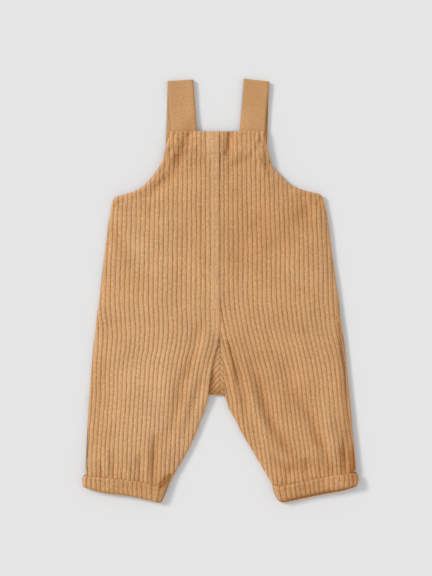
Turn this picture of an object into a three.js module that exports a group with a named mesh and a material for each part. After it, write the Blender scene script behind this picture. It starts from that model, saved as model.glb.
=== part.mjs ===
// Toddler dungarees in wide-wale corduroy, laid flat with the front up.
// Millimetres. +X to the viewer's right, +Y up the body towards the shoulder straps, +Z away from the surface.
// Left and right are as seen from above. Inside this file "up" is the height above the lowest point of the hems,
// and "across" is the distance from the centre front seam, both in the flat.
import * as THREE from 'three';

// Driving dimensions of the cloth
const WALE_RISE = 0.9;
const WALE_SHOULDER = 0.28; // share of the pitch from a groove to the shoulder of its wale
const EDGE_WALE = 0.5; // the share of their rise that the wales keep at an edge
const EDGE_WALE_REACH = 4; // and how far in from it they have their full rise
const CLOTH = 1.5; // the wall under the wales
const BACK_CLOTH = 2.0; // the back panels, whose wales are pressed flat
const SEAM_GAP = 0.3;
const HALF_GAP = SEAM_GAP / 2;
const RIM = 1.1; // the wall left at a sewn edge, where it is pressed thin
const EDGE_ROUND = 2.6; // how far in from its edge a wall has its full thickness
const SIDE_ROUND = 9; // how far in from a seam between front and back the front has its full height
const LOFT = 1.7; // air between front and back in the body
const LEAST_LOFT = 0.45;
const MOST_LOFT = 3.6;

// The bib, the seams and the fork
const BIB_TOP = 446.4;
const BACK_BIB_TOP = 443;
const UNDERARM = 362;
const SEAM_START = 208; // above this the centre seam runs straight up, and below it the legs part over the fork
const SEAM_DIP = 0.5; // how far the front is pulled down into the centre seam
const SEAM_DIP_REACH = 2;
const ALLOWANCE_RISE = 0.35; // the seam's turned allowance lifts a band of the left front
const ALLOWANCE_WIDTH = 9;
const ALLOWANCE_EASE = 2;
const CROTCH = 129;
const CROTCH_FOLD = 130.8; // the lower edge of the fork, seen between the legs
const FORK_TOP = 196;
const FORK_LOFT = 2.5; // air that the fork needs under the front
const FORK_MIDDLE = { left: -8, right: 5 };
const FORK_HALF = 9; // the front keeps that air this far to both sides of the fork's middle
const FORK_FADE = 7;
const FORK_LEAD = 22; // it begins this far below the crotch
const FORK_TRAIL = 18; // and ends this far above the fork's top
const FORK_TUCK = 2.4; // the fork runs on under the front by this
const FORK_SLANT = 0.9; // its wales run across by this for each millimetre down
const FORK_SPACING = 8.6; // of its grooves along the seam
const FORK_WALES = 12;
const FORK_WALL = 1.2;
const FORK_RIM = 1;
const FORK_RISE = 0.5;
const FORK_TURN = 7; // how far above its lower edge it has its full wall

// The straps
const STRAP_WIDTH = 30.6;
const STRAP_CLOTH = 1.2;
const STRAP_END = 424; // where both ends of a strap are sewn inside the bib
const STRAP_IN_BIB = 436;
const STRAP_PAST_BIB = 462;
const STRAP_NEAR_FOLD = 480;
const STRAP_TOP_HEIGHT = 3.9; // of the middle of the upper layer near the shoulder fold
const STRAP_FOLD_STEPS = 6;
const SELVEDGE = 0.97; // share of the strap's half width at which its flat face ends
const STRAP_LOFT = 2 * STRAP_CLOTH + 3 * SEAM_GAP; // what the bib needs to lie over the two strap ends
const STRAP_LOFT_START = 402; // the bib starts to rise over the strap ends here
const STRAP_LOFT_FULL = 421;
const STRAP_LOFT_EASE = 9;

// The turned-up cuffs and the legs' ends inside them
const CUFF_DEPTH = 18;
const CUFF_PITCH = 5.5; // of the wales round a cuff
const CUFF_LIFT = 2.1; // the cuff under the back of the leg lifts the leg by this
const CUFF_EDGE = 2; // the cuff's wall where it folds round the hem and round the sides
const CUFF_INNER = CUFF_EDGE + SEAM_GAP;
const CUFF_LOFT = 0.9;
const CUFF_RIM = 0.9;
const CUFF_ROUND = 3.2;
const CUFF_MOUTH_REACH = 1.2; // how far round its edge already is at the mouth
const CUFF_BACK_ROUND = 2.4;
const CUFF_BACK_RISE = 1.3; // how far the round edge underneath comes up
const RAMP_START = 25; // above the hem: the leg comes down off the cuff from here
const RAMP_END = 41; // to here
const BODY_START = RAMP_START + 1; // above the hem: the leg gains the body's loft from here
const BODY_FULL = RAMP_END + 14; // to here
const WALES_START = 0.6; // above the cuff's upper edge: the leg's wales begin here
const WALES_FULL = 3; // and have their full rise here
const HEM_INSET = 3.4; // the leg panels end this far inside the cuff's fold

// How finely the walls are divided
const EDGE_STEP = 1.6; // an extra point this far from each end of a groove, for the rounded edge
const EDGE_POINTS = 60; // along an armhole, a side seam or an inseam
const INNER_POINTS = 200; // along a panel's inner edge
const HEM_POINTS = 9;
const FORK_POINTS = 16;
const BACK_LINES = 18; // lines of points across a plain back panel
const CLIP_STEP = 0.5;
const CLIP_ROUNDS = 12;
const LINE_GAP = 0.02; // keeps an outermost line inside the outline
const LEAST_LINE = 8; // shorter lines are left out
const LEAST_FORK_LINE = 1.2;
const LEAST_STEP = 0.4; // the closest that two points of a line come
const LEVEL_CLEARANCE = 3; // a shared level nearer than this to a line's end is left out
const BACK_EDGE_RISE = 0.7; // the underside of a back panel comes up by this at its edges
const BACK_EDGE_REACH = 3;

// Levels at which every panel has points, above the leg's end
const BODY_LEVELS = [66, 96, 130, 160, 192, 228, 270, 316, 358, 386, 408, 424];

// Half widths of the flat garment at the side seams, a row for each height
const SIDE_SEAMS = [
  { up: 12, left: 157.6, right: 158.6 },
  { up: 30, left: 159.2, right: 160 },
  { up: 38, left: 160.8, right: 160.8 },
  { up: 44, left: 161, right: 163 },
  { up: 88, left: 158.4, right: 160.8 },
  { up: 136, left: 155.8, right: 155 },
  { up: 196, left: 150.4, right: 149 },
  { up: 244, left: 144.4, right: 142.6 },
  { up: 304, left: 137.4, right: 133.8 },
  { up: 340, left: 132.6, right: 129.8 },
  { up: 362, left: 128.8, right: 124.8 },
];

// The inner edges of the legs
const INSEAMS = [
  { up: 3, left: 73.4, right: 77 },
  { up: 10, left: 69, right: 71.2 },
  { up: 21, left: 62.9, right: 64.6 },
  { up: 36, left: 54, right: 55.6 },
  { up: 52, left: 45, right: 46.2 },
  { up: 67, left: 36.6, right: 37.4 },
  { up: 84, left: 28.8, right: 27.2 },
  { up: 100, left: 22.6, right: 19.2 },
  { up: 114, left: 17.2, right: 11.2 },
  { up: 129, left: 13.4, right: 6.4 },
];

// The armholes, from the bib's corner down to the underarm
const ARMHOLES = [
  { leftAcross: 58.8, leftUp: 446.4, rightAcross: 54.6, rightUp: 446.4 },
  { leftAcross: 60.6, leftUp: 438.6, rightAcross: 55.2, rightUp: 436.2 },
  { leftAcross: 64.2, leftUp: 429, rightAcross: 57.6, rightUp: 424.2 },
  { leftAcross: 68.2, leftUp: 412.2, rightAcross: 62.6, rightUp: 405.6 },
  { leftAcross: 75.4, leftUp: 399.6, rightAcross: 70.4, rightUp: 396.6 },
  { leftAcross: 84, leftUp: 388.4, rightAcross: 78.6, rightUp: 387.8 },
  { leftAcross: 95.4, leftUp: 378, rightAcross: 88, rightUp: 381 },
  { leftAcross: 109.8, leftUp: 372, rightAcross: 104, rightUp: 375 },
  { leftAcross: 123.6, leftUp: 368, rightAcross: 120.6, rightUp: 370.6 },
  { leftAcross: 128.8, leftUp: 362, rightAcross: 124.8, rightUp: 362 },
];

// Where the first groove runs, how far apart the grooves are, and the inner edge of the right front. Where the
// cloth lies flat there are 4.5 wales to the inch, and it is drawn in where the pitch is smaller.
const WALES = [
  { up: 28, leftStart: -18.6, leftPitch: 5.16, rightStart: 39, rightPitch: 5.16, rightEdge: 6.4 },
  { up: 64, leftStart: -16.6, leftPitch: 5.2, rightStart: 34.2, rightPitch: 5.24, rightEdge: 6.4 },
  { up: 100, leftStart: -15.2, leftPitch: 5.16, rightStart: 28.8, rightPitch: 5.26, rightEdge: 6.4 },
  { up: 129, leftStart: -13.4, leftPitch: 5.14, rightStart: 25.4, rightPitch: 5.28, rightEdge: 6.4 },
  { up: 150, leftStart: -11, leftPitch: 5.24, rightStart: 21.4, rightPitch: 5.4, rightEdge: 5.6 },
  { up: 172, leftStart: -7, leftPitch: 5.36, rightStart: 15.6, rightPitch: 5.52, rightEdge: 3.8 },
  { up: 190, leftStart: -2, leftPitch: 5.5, rightStart: 11, rightPitch: 5.54, rightEdge: 1.6 },
  { up: 208, leftStart: 0.8, leftPitch: 5.6, rightStart: 6.4, rightPitch: 5.56, rightEdge: 0.8 },
  { up: 244, leftStart: 0.6, leftPitch: 5.7, rightStart: 0.8, rightPitch: 5.64, rightEdge: 0.7 },
  { up: 304, leftStart: 0.4, leftPitch: 5.6, rightStart: 0.5, rightPitch: 5.6, rightEdge: 0.5 },
  { up: 388, leftStart: 0, leftPitch: 5.48, rightStart: 0, rightPitch: 5.45, rightEdge: 0 },
  { up: 446.4, leftStart: 0, leftPitch: 5.4, rightStart: 0, rightPitch: 5.4, rightEdge: 0 },
];
const FIRST_WALE = -5;
const LAST_WALE = 30;

// Each leg's cuff: its hem and its upper edge, from the outer side to the inner. bulge rounds the sides out, peek
// is how much further the back of the cuff reaches than the front.
const CUFFS = {
  left: {
    hem: [
      { across: -163.4, up: 20 },
      { across: -143, up: 13.6 },
      { across: -110, up: 9.2 },
      { across: -70.6, up: 0.4 },
    ],
    top: [
      { across: -162.8, up: 33.4 },
      { across: -143, up: 32.4 },
      { across: -110, up: 28.6 },
      { across: -60, up: 21.4 },
    ],
    bulge: 1.4,
    peek: 0.8,
  },
  right: {
    hem: [
      { across: 163.2, up: 18.4 },
      { across: 143, up: 14.8 },
      { across: 110, up: 8.4 },
      { across: 72.8, up: 1.6 },
    ],
    top: [
      { across: 163.6, up: 39 },
      { across: 143, up: 36.2 },
      { across: 110, up: 29.4 },
      { across: 60.8, up: 19.6 },
    ],
    bulge: 3,
    peek: 3,
  },
};

// Each strap's middle: at its front end, at the shoulder fold and at its back end, with the strap's slant in
// degrees and the height of the fold
const STRAPS = {
  left: { frontLow: -41, foldAcross: -47, backLow: -49.6, slant: 3.7, top: 507.6 },
  right: { frontLow: 37.4, foldAcross: 44, backLow: 41.4, slant: -6.4, top: 507.9 },
};
const STRAP_ZONES = [
  { from: -68, to: -24 },
  { from: 20, to: 60 },
];

// The largest soft folds of the front. A row is one trough from one end to the other, or a ridge where deep is
// below zero.
const FOLDS = [
  { fromAcross: 4, fromUp: 212, toAcross: 20, toUp: 150, wide: 7, deep: 1.5 },
  { fromAcross: 20, fromUp: 150, toAcross: 28, toUp: 112, wide: 7, deep: 1.3 },
  { fromAcross: 46, fromUp: 136, toAcross: 66, toUp: 82, wide: 7, deep: 1.5 },
  { fromAcross: 66, fromUp: 82, toAcross: 80, toUp: 52, wide: 7, deep: 1.2 },
  { fromAcross: 84, fromUp: 150, toAcross: 90, toUp: 80, wide: 12, deep: -1.2 },
  { fromAcross: 142, fromUp: 126, toAcross: 143, toUp: 42, wide: 6, deep: 1.2 },
  { fromAcross: 135, fromUp: 110, toAcross: 136, toUp: 56, wide: 5, deep: -0.9 },
  { fromAcross: -81, fromUp: 90, toAcross: -82, toUp: 34, wide: 6, deep: 1.2 },
  { fromAcross: -35, fromUp: 192, toAcross: -43, toUp: 148, wide: 8, deep: 1 },
  { fromAcross: -43, fromUp: 148, toAcross: -55, toUp: 120, wide: 8, deep: 1 },
  { fromAcross: -30, fromUp: 176, toAcross: -40, toUp: 100, wide: 6, deep: -0.8 },
  { fromAcross: -100, fromUp: 320, toAcross: -104, toUp: 180, wide: 26, deep: -1 },
  { fromAcross: 60, fromUp: 300, toAcross: 92, toUp: 200, wide: 26, deep: -1 },
  { fromAcross: 8, fromUp: 446, toAcross: 5, toUp: 422, wide: 5, deep: 1 },
  { fromAcross: 112, fromUp: 362, toAcross: 92, toUp: 340, wide: 9, deep: 0.9 },
];

const CLOTH_FINISH = new THREE.MeshStandardMaterial({ color: 0xc89b6e, roughness: 0.95, metalness: 0 });
const CUFF_FINISH = new THREE.MeshStandardMaterial({ color: 0xbf9064, roughness: 0.95, metalness: 0 });
const TAPE_FINISH = new THREE.MeshStandardMaterial({ color: 0xc4966a, roughness: 0.85, metalness: 0 });

const clamp = THREE.MathUtils.clamp;
const lerp = THREE.MathUtils.lerp;
const smooth = THREE.MathUtils.smoothstep;

// Quarter-circle rise from 0 at an edge to 1 at the given reach
const rounded = (distance, reach) => Math.sqrt(1 - (1 - clamp(distance / reach, 0, 1)) ** 2);

// Values at even steps from one to another, both ends included
const evenly = (from, to, steps) => Array.from({ length: steps + 1 }, (_, i) => lerp(from, to, i / steps));

// Cubic interpolation of one named column of a table, smooth across uneven rows
function column(table, key, at) {
  const last = table.length - 1;
  if (at <= table[0].up) return table[0][key];
  if (at >= table[last].up) return table[last][key];
  const i = table.findIndex((row) => row.up > at) - 1;
  const slope = (j) => {
    const a = table[Math.max(j - 1, 0)];
    const b = table[Math.min(j + 1, last)];
    return (b[key] - a[key]) / (b.up - a.up);
  };
  const step = table[i + 1].up - table[i].up;
  const t = (at - table[i].up) / step;
  const rise = table[i + 1][key] - table[i][key];
  const start = slope(i) * step;
  const end = slope(i + 1) * step;
  return table[i][key] + t * (start + t * (3 * rise - 2 * start - end + t * (start + end - 2 * rise)));
}

const side = { left: -1, right: 1 };
const seamAcross = (up) => column(WALES, 'leftStart', Math.max(up, SEAM_START));
const sideAcross = (leg, up) => side[leg] * column(SIDE_SEAMS, leg, up);
const inseamAcross = (leg, up) => side[leg] * column(INSEAMS, leg, up);
const grooveAcross = (leg, wale, up) =>
  column(WALES, leg + 'Start', up) + side[leg] * column(WALES, leg + 'Pitch', up) * wale;

// The edge of a front over the fork and at the centre seam
const frontEdge = (leg, up) =>
  column(WALES, leg === 'left' ? 'leftStart' : 'rightEdge', up) + side[leg] * HALF_GAP;
const backEdge = (leg, up) => seamAcross(up) + side[leg] * HALF_GAP;

// The height of the hem's fold at a place across one leg, as a straight line between its ends
function hemUp(leg, across) {
  const outer = CUFFS[leg].hem[0];
  const inner = CUFFS[leg].hem.at(-1);
  return outer.up + ((across - outer.across) / (inner.across - outer.across)) * (inner.up - outer.up);
}

// The height of the cuff's upper edge at a place across one leg, straight between the points of its table
function cuffTopUp(leg, across) {
  const top = CUFFS[leg].top;
  const found = top.findIndex((p) => Math.abs(p.across) < Math.abs(across));
  const inner = found < 0 ? top.length - 1 : Math.max(found, 1);
  const [a, b] = [top[inner - 1], top[inner]];
  return lerp(a.up, b.up, clamp((across - a.across) / (b.across - a.across), 0, 1));
}

const curveThrough = (points, steps) => new THREE.SplineCurve(points).getPoints(steps);

// The edge lines of one half: the armhole, the side seam from underarm to hem, and the inseam
function edgesOf(leg) {
  const corners = ARMHOLES.map((row) => new THREE.Vector2(side[leg] * row[leg + 'Across'], row[leg + 'Up']));
  return {
    armhole: curveThrough(corners, EDGE_POINTS),
    side: evenly(UNDERARM, 0, EDGE_POINTS).map((up) => new THREE.Vector2(sideAcross(leg, up), up)),
    inseam: evenly(0, CROTCH, EDGE_POINTS).map((up) => new THREE.Vector2(inseamAcross(leg, up), up)),
  };
}

const EDGES = { left: edgesOf('left'), right: edgesOf('right') };

function distanceTo(line, x, y) {
  let best = Infinity;
  for (let i = 1; i < line.length; i++) {
    const [a, b] = [line[i - 1], line[i]];
    const [dx, dy] = [b.x - a.x, b.y - a.y];
    const t = clamp(((x - a.x) * dx + (y - a.y) * dy) / (dx * dx + dy * dy), 0, 1);
    best = Math.min(best, Math.hypot(x - a.x - t * dx, y - a.y - t * dy));
  }
  return best;
}

// How far a place is from the edges sewn to the back, and from the open ones
const closeDistance = (leg, x, y) =>
  Math.min(distanceTo(EDGES[leg].side, x, y), distanceTo(EDGES[leg].inseam, x, y));
const openDistance = (leg, x, y) => Math.min(distanceTo(EDGES[leg].armhole, x, y), BIB_TOP - y);

function insideOf(outline, x, y) {
  let inside = false;
  for (let i = 0, j = outline.length - 1; i < outline.length; j = i++) {
    const [a, b] = [outline[i], outline[j]];
    if (a.y > y !== b.y > y && x < ((b.x - a.x) * (y - a.y)) / (b.y - a.y) + a.x) inside = !inside;
  }
  return inside;
}

// Heights of the layers, at a place across and up
function backUnder(leg, x, y) {
  const above = y - hemUp(leg, x);
  return CUFF_LIFT * (1 - clamp((above - RAMP_START) / (RAMP_END - RAMP_START), 0, 1));
}

const backOver = (leg, x, y) => backUnder(leg, x, y) + BACK_CLOTH;

function foldDepth(x, y) {
  return FOLDS.reduce((sum, f) => {
    const [dx, dy] = [f.toAcross - f.fromAcross, f.toUp - f.fromUp];
    const t = clamp(((x - f.fromAcross) * dx + (y - f.fromUp) * dy) / (dx * dx + dy * dy), 0, 1);
    const off = Math.hypot(x - f.fromAcross - t * dx, y - f.fromUp - t * dy) / f.wide;
    return sum + f.deep * Math.exp(-off * off);
  }, 0);
}

// 1 where the fork lies under the front, 0 away from it
function overFork(leg, x, y) {
  const across = 1 - smooth(Math.abs(x - FORK_MIDDLE[leg]), FORK_HALF, FORK_HALF + FORK_FADE);
  return across * smooth(y, CROTCH - FORK_LEAD, CROTCH) * (1 - smooth(y, FORK_TOP, FORK_TOP + FORK_TRAIL));
}

// 1 where the bib lies over a sewn-in strap end
function overStrap(zone, x, y) {
  const pastFrom = smooth(x, zone.from - STRAP_LOFT_EASE, zone.from);
  const pastTo = smooth(x, zone.to, zone.to + STRAP_LOFT_EASE);
  return pastFrom * (1 - pastTo) * smooth(y, STRAP_LOFT_START, STRAP_LOFT_FULL);
}

// The air between front and back
function loft(leg, x, y) {
  const above = y - hemUp(leg, x);
  let air = lerp(CUFF_LOFT, LOFT - foldDepth(x, y), smooth(above, BODY_START, BODY_FULL));
  air = lerp(air, Math.max(air, FORK_LOFT), overFork(leg, x, y));
  STRAP_ZONES.forEach((zone) => {
    air = lerp(air, Math.max(air, STRAP_LOFT), overStrap(zone, x, y));
  });
  return clamp(air, LEAST_LOFT, MOST_LOFT);
}

function frontUnder(leg, x, y) {
  const closed = Math.max(rounded(closeDistance(leg, x, y), SIDE_ROUND), overFork(leg, x, y));
  return backOver(leg, x, y) + lerp(LEAST_LOFT, loft(leg, x, y), closed);
}

// The front dips at the centre seam, and its allowance, pressed to the left, lifts a band beside it
function centreSeamRise(leg, x, y) {
  if (y < SEAM_START) return 0;
  const away = Math.abs(x - seamAcross(y));
  const dip = SEAM_DIP * (1 - rounded(away, SEAM_DIP_REACH));
  if (leg === 'right') return -dip;
  const outer = 1 - smooth(away, ALLOWANCE_WIDTH - ALLOWANCE_EASE, ALLOWANCE_WIDTH + ALLOWANCE_EASE);
  return ALLOWANCE_RISE * smooth(away, 1, 1 + ALLOWANCE_EASE) * outer - dip;
}

// wale is 0 in a groove and 1 on a crest
function frontOver(leg, x, y, wale) {
  const covered = smooth(y - cuffTopUp(leg, x), WALES_START, WALES_FULL);
  const edge = Math.min(closeDistance(leg, x, y), openDistance(leg, x, y));
  const wall = CLOTH + WALE_RISE * wale * covered * lerp(EDGE_WALE, 1, smooth(edge, 0, EDGE_WALE_REACH));
  return frontUnder(leg, x, y) + lerp(RIM, wall, rounded(edge, EDGE_ROUND)) + centreSeamRise(leg, x, y);
}

// A closed wall from its lines of points, each { x, y, over, under } and sorted upwards. Neighbouring lines are
// zipped into strips. The strip before line stopAt ends where its first line ends, at the centre seam.
function wallGeometry(lines, stopAt = -1) {
  const starts = [];
  lines.reduce((sum, line) => {
    starts.push(sum);
    return sum + line.length;
  }, 0);
  const faces = [];
  for (let k = 1; k < lines.length; k++) {
    const [a, b] = [lines[k - 1], lines[k]];
    let [i, j] = [0, 0];
    while (i < a.length - 1 || j < b.length - 1) {
      const nextA = i < a.length - 1 ? a[i + 1].y : Infinity;
      const nextB = j < b.length - 1 ? b[j + 1].y : Infinity;
      const takeA = a.length === b.length ? i <= j : nextA <= nextB;
      const [p, q] = [starts[k - 1] + i, starts[k] + j];
      faces.push([p, q, takeA ? p + 1 : q + 1]);
      if (takeA) i++;
      else j++;
      if (k === stopAt && i === a.length - 1 && b[j].y > a[i].y) break;
    }
  }
  return closedWall(lines.flat(), faces);
}

// Adds the underside and the rim to the upper faces, and turns everything outwards
function closedWall(points, faces) {
  const count = points.length;
  const area = faces.reduce((sum, [p, q, r]) => {
    const [a, b, c] = [points[p], points[q], points[r]];
    return sum + (b.x - a.x) * (c.y - a.y) - (c.x - a.x) * (b.y - a.y);
  }, 0);
  const upper = area > 0 ? faces : faces.map(([p, q, r]) => [p, r, q]);
  const edges = new Set(upper.flatMap(([p, q, r]) => [`${p} ${q}`, `${q} ${r}`, `${r} ${p}`]));
  const rim = [...edges]
    .map((edge) => edge.split(' ').map(Number))
    .filter(([p, q]) => !edges.has(`${q} ${p}`))
    .flatMap(([p, q]) => [
      [q, p, p + count],
      [q, p + count, q + count],
    ]);
  const lower = upper.map(([p, q, r]) => [r + count, q + count, p + count]);
  const over = points.flatMap((p) => [p.x, p.y, p.over]);
  const under = points.flatMap((p) => [p.x, p.y, p.under]);
  return meshOf([...over, ...under], [...upper, ...lower, ...rim].flat());
}

function meshOf(positions, index) {
  const geometry = new THREE.BufferGeometry();
  geometry.setAttribute('position', new THREE.Float32BufferAttribute(positions, 3));
  geometry.setIndex(index);
  geometry.computeVertexNormals();
  return geometry;
}

// The stretch of a line, given as across(up), that lies inside an outline, refined at both ends
function clip(outline, across, from, to) {
  let [start, end, bestStart, bestEnd] = [null, null, null, null];
  for (let up = from; up <= to + CLIP_STEP; up += CLIP_STEP) {
    const within = up <= to && insideOf(outline, across(up), up);
    if (within && start === null) start = up;
    if (within) end = up;
    if (!within && start !== null) {
      if (bestStart === null || end - start > bestEnd - bestStart) [bestStart, bestEnd] = [start, end];
      start = null;
    }
  }
  if (bestStart === null) return { low: 0, high: 0 };
  const refine = (within, without) => {
    for (let i = 0; i < CLIP_ROUNDS; i++) {
      const middle = (within + without) / 2;
      if (insideOf(outline, across(middle), middle)) within = middle;
      else without = middle;
    }
    return within;
  };
  return { low: refine(bestStart, bestStart - CLIP_STEP), high: refine(bestEnd, bestEnd + CLIP_STEP) };
}

// Heights at which a line gets points: the shared levels that lie inside it, and the steps at its ends
function heightsAlong(leg, across, { low, high }) {
  const ends = [low, low + EDGE_STEP, high - EDGE_STEP, high];
  const x = across(RAMP_START);
  const cuffLevels = [WALES_START, WALES_FULL].map((level) => level + cuffTopUp(leg, x));
  const legLevels = [...cuffLevels, hemUp(leg, x) + RAMP_START, hemUp(leg, x) + RAMP_END];
  const inner = [...legLevels, ...BODY_LEVELS].filter(
    (up) => up > low + LEVEL_CLEARANCE && up < high - LEVEL_CLEARANCE,
  );
  const all = [...ends, ...inner].sort((a, b) => a - b);
  return all.filter((up, i) => i === 0 || up - all[i - 1] > LEAST_STEP);
}

// The outline of a front or back half. The inner edge runs up the inseam, along the fork and up the centre seam.
function panelOutline(leg, innerEdge, crotch, top) {
  const { armhole, side: sideSeam, inseam } = EDGES[leg];
  const hemOf = (across) => hemUp(leg, across) + HEM_INSET + CUFFS[leg].peek;
  const hem = evenly(sideAcross(leg, CUFF_DEPTH), inseamAcross(leg, CUFF_DEPTH), HEM_POINTS - 1).map(
    (across) => new THREE.Vector2(across, hemOf(across)),
  );
  const aboveHem = (p) => p.y > hemOf(p.x);
  const inner = evenly(crotch, top, INNER_POINTS - 1).map((up) => new THREE.Vector2(innerEdge(leg, up), up));
  const corner = new THREE.Vector2(armhole[0].x, top);
  return [
    ...sideSeam.slice(1).filter(aboveHem),
    ...hem,
    ...inseam.filter((p) => aboveHem(p) && p.y <= crotch),
    ...inner,
    corner,
    ...armhole.filter((p) => p.y <= top),
  ];
}

// A front: three lines of points to a wale, in its groove and on its two shoulders. The first line also keeps to
// the inner edge, and on the right the wales before it run out at that edge below the start of the seam.
function frontPanel(leg) {
  const sign = side[leg];
  const outline = panelOutline(leg, frontEdge, CROTCH, BIB_TOP);
  const firstAcross = (up) => {
    const edge = frontEdge(leg, up) + sign * LINE_GAP;
    return leg === 'left' ? edge : Math.max(grooveAcross(leg, 0, up), edge);
  };
  const lines = [];
  let seamLine = -1;
  for (let wale = leg === 'left' ? 0 : FIRST_WALE; wale < LAST_WALE; wale++) {
    [0, WALE_SHOULDER, 1 - WALE_SHOULDER].forEach((part) => {
      const first = wale + part === 0;
      const across = first ? firstAcross : (up) => grooveAcross(leg, wale + part, up);
      const found = clip(outline, across, 0, BIB_TOP);
      if (found.high - found.low < LEAST_LINE) return;
      if (first && leg === 'right') seamLine = lines.length;
      const crest = part === 0 ? 0 : 1;
      lines.push(
        heightsAlong(leg, across, found).map((up) => {
          const x = across(up);
          return { x, y: up, over: frontOver(leg, x, up, crest), under: frontUnder(leg, x, up) };
        }),
      );
    });
  }
  return wallGeometry(lines, seamLine);
}

// A back: plain, with an extra line of points that ends in its corner at the crotch
function backPanel(leg) {
  const sign = side[leg];
  const outline = panelOutline(leg, backEdge, CROTCH_FOLD, BACK_BIB_TOP);
  const crotchWidth = Math.abs(inseamAcross(leg, CROTCH) - backEdge(leg, CROTCH)) + HALF_GAP;
  const corner = crotchWidth / Math.abs(sideAcross(leg, CROTCH));
  const shares = [...evenly(0, 1, BACK_LINES - 1), corner].sort((a, b) => a - b);
  const lines = [];
  shares.forEach((share) => {
    const across = (up) =>
      lerp(backEdge(leg, up) + sign * LINE_GAP, sideAcross(leg, up) - sign * 2 * LINE_GAP, share);
    const found = clip(outline, across, 0, BACK_BIB_TOP);
    if (found.high - found.low < LEAST_LINE) return;
    lines.push(
      heightsAlong(leg, across, found).map((up) => {
        const x = across(up);
        const edge = Math.min(closeDistance(leg, x, up), distanceTo(EDGES[leg].armhole, x, up));
        const turned = BACK_EDGE_RISE * (1 - rounded(edge, BACK_EDGE_REACH));
        return { x, y: up, over: backOver(leg, x, up), under: backUnder(leg, x, up) + turned };
      }),
    );
  });
  return wallGeometry(lines);
}

// The fork: one half of the crotch, seen between the legs, with slanting wales that meet at the seam
function forkPanel(leg) {
  const sign = side[leg];
  const levels = evenly(CROTCH_FOLD, FORK_TOP, FORK_POINTS - 1);
  const outline = [
    ...levels.map((up) => new THREE.Vector2(backEdge(leg, up), up)),
    ...levels.reverse().map((up) => new THREE.Vector2(frontEdge(leg, up) + sign * (FORK_TUCK - HALF_GAP), up)),
  ];
  const lines = [];
  for (let wale = -1; wale < FORK_WALES; wale++) {
    [0, WALE_SHOULDER, 1 - WALE_SHOULDER].forEach((part) => {
      const meets = FORK_TOP - (wale + part) * FORK_SPACING; // where this line reaches the seam
      const across = (up) => backEdge(leg, up) - sign * (up - meets) * FORK_SLANT;
      const { low, high } = clip(outline, across, CROTCH_FOLD - CLIP_STEP, FORK_TOP + CLIP_STEP);
      if (high - low < LEAST_FORK_LINE) return;
      const rise = part === 0 ? 0 : FORK_RISE;
      lines.push(
        [low, (low + high) / 2, high].map((up) => {
          const x = across(up);
          const turned = rounded(up - CROTCH_FOLD, FORK_TURN);
          const under = backOver(leg, x, up) + SEAM_GAP;
          return { x, y: up, under, over: under + lerp(FORK_RIM, FORK_WALL + rise, turned) };
        }),
      );
    });
  }
  return wallGeometry(lines);
}

// Shares of a cuff's width at which it has lines of points: at its sides, and at its wales or, on the plain back,
// at every third of them
function cuffShares(width, wales, front) {
  const sides = [0, CUFF_EDGE / width, CUFF_INNER / width];
  const shares = [...sides, ...sides.map((share) => 1 - share)];
  for (let wale = 1; wale < wales; wale++) {
    if (front) shares.push((wale - WALE_SHOULDER) / wales, wale / wales, (wale + WALE_SHOULDER) / wales);
    else if (wale % 3 === 0) shares.push(wale / wales);
  }
  return shares.sort((a, b) => a - b);
}

// A cuff's half, front or back, as a grid between its hem and its upper edge. The wall turns round the leg at the
// hem and at the sides.
function cuffHalf(leg, front) {
  const { hem, top, bulge, peek } = CUFFS[leg];
  const lineOf = (points) => new THREE.SplineCurve(points.map((p) => new THREE.Vector2(p.across, p.up)));
  const [hemLine, topLine] = [lineOf(hem), lineOf(top)];
  const width = Math.abs(hem[0].across - hem.at(-1).across);
  const wales = Math.round(width / CUFF_PITCH);
  const rows = [0, CUFF_EDGE, CUFF_INNER, CUFF_DEPTH / 2, CUFF_DEPTH - EDGE_STEP, CUFF_DEPTH];
  const legTop = CUFF_LIFT + BACK_CLOTH + CUFF_LOFT + CLOTH; // the leg's own upper side, inside the cuff
  const mouth = CUFF_LIFT + BACK_CLOTH + CUFF_LOFT / 2;

  // The halves part at the mouth where they turn round the leg, and lie over and under the leg inside that
  function heightsAt(share, row) {
    const fromSide = Math.min(share, 1 - share) * width;
    const inset = Math.min(row, fromSide);
    const turned = fromSide < CUFF_INNER - HALF_GAP || row <= CUFF_EDGE;
    if (!front) {
      const under = CUFF_BACK_RISE * (1 - rounded(inset, CUFF_BACK_ROUND));
      return { under, over: turned ? mouth - HALF_GAP : CUFF_LIFT - SEAM_GAP };
    }
    const inGroove = Math.abs(share * wales - Math.round(share * wales)) < WALE_SHOULDER / 2;
    const rise = inGroove ? 0 : WALE_RISE * (row < CUFF_DEPTH ? 1 : EDGE_WALE);
    const full = legTop + SEAM_GAP + CLOTH + rise;
    const reach = Math.min(inset, CUFF_DEPTH - row + CUFF_MOUTH_REACH);
    const under = turned ? mouth + HALF_GAP : legTop + SEAM_GAP;
    return { under, over: lerp(mouth + CUFF_RIM, full, rounded(reach, CUFF_ROUND)) };
  }

  const lines = cuffShares(width, wales, front).map((share) =>
    rows.map((row) => {
      const t = row / CUFF_DEPTH;
      const low = hemLine.getPoint(share);
      const high = topLine.getPoint(share);
      const towardsSide = Math.abs(2 * share - 1) ** 3 * (share < 1 / 2 ? 1 : -1);
      const x = lerp(low.x, high.x, t) + side[leg] * bulge * Math.sin(Math.PI * t) * towardsSide;
      const y = lerp(low.y + (front ? peek : 0), high.y, t);
      return { x, y, ...heightsAt(share, row) };
    }),
  );
  return wallGeometry(lines);
}

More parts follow.
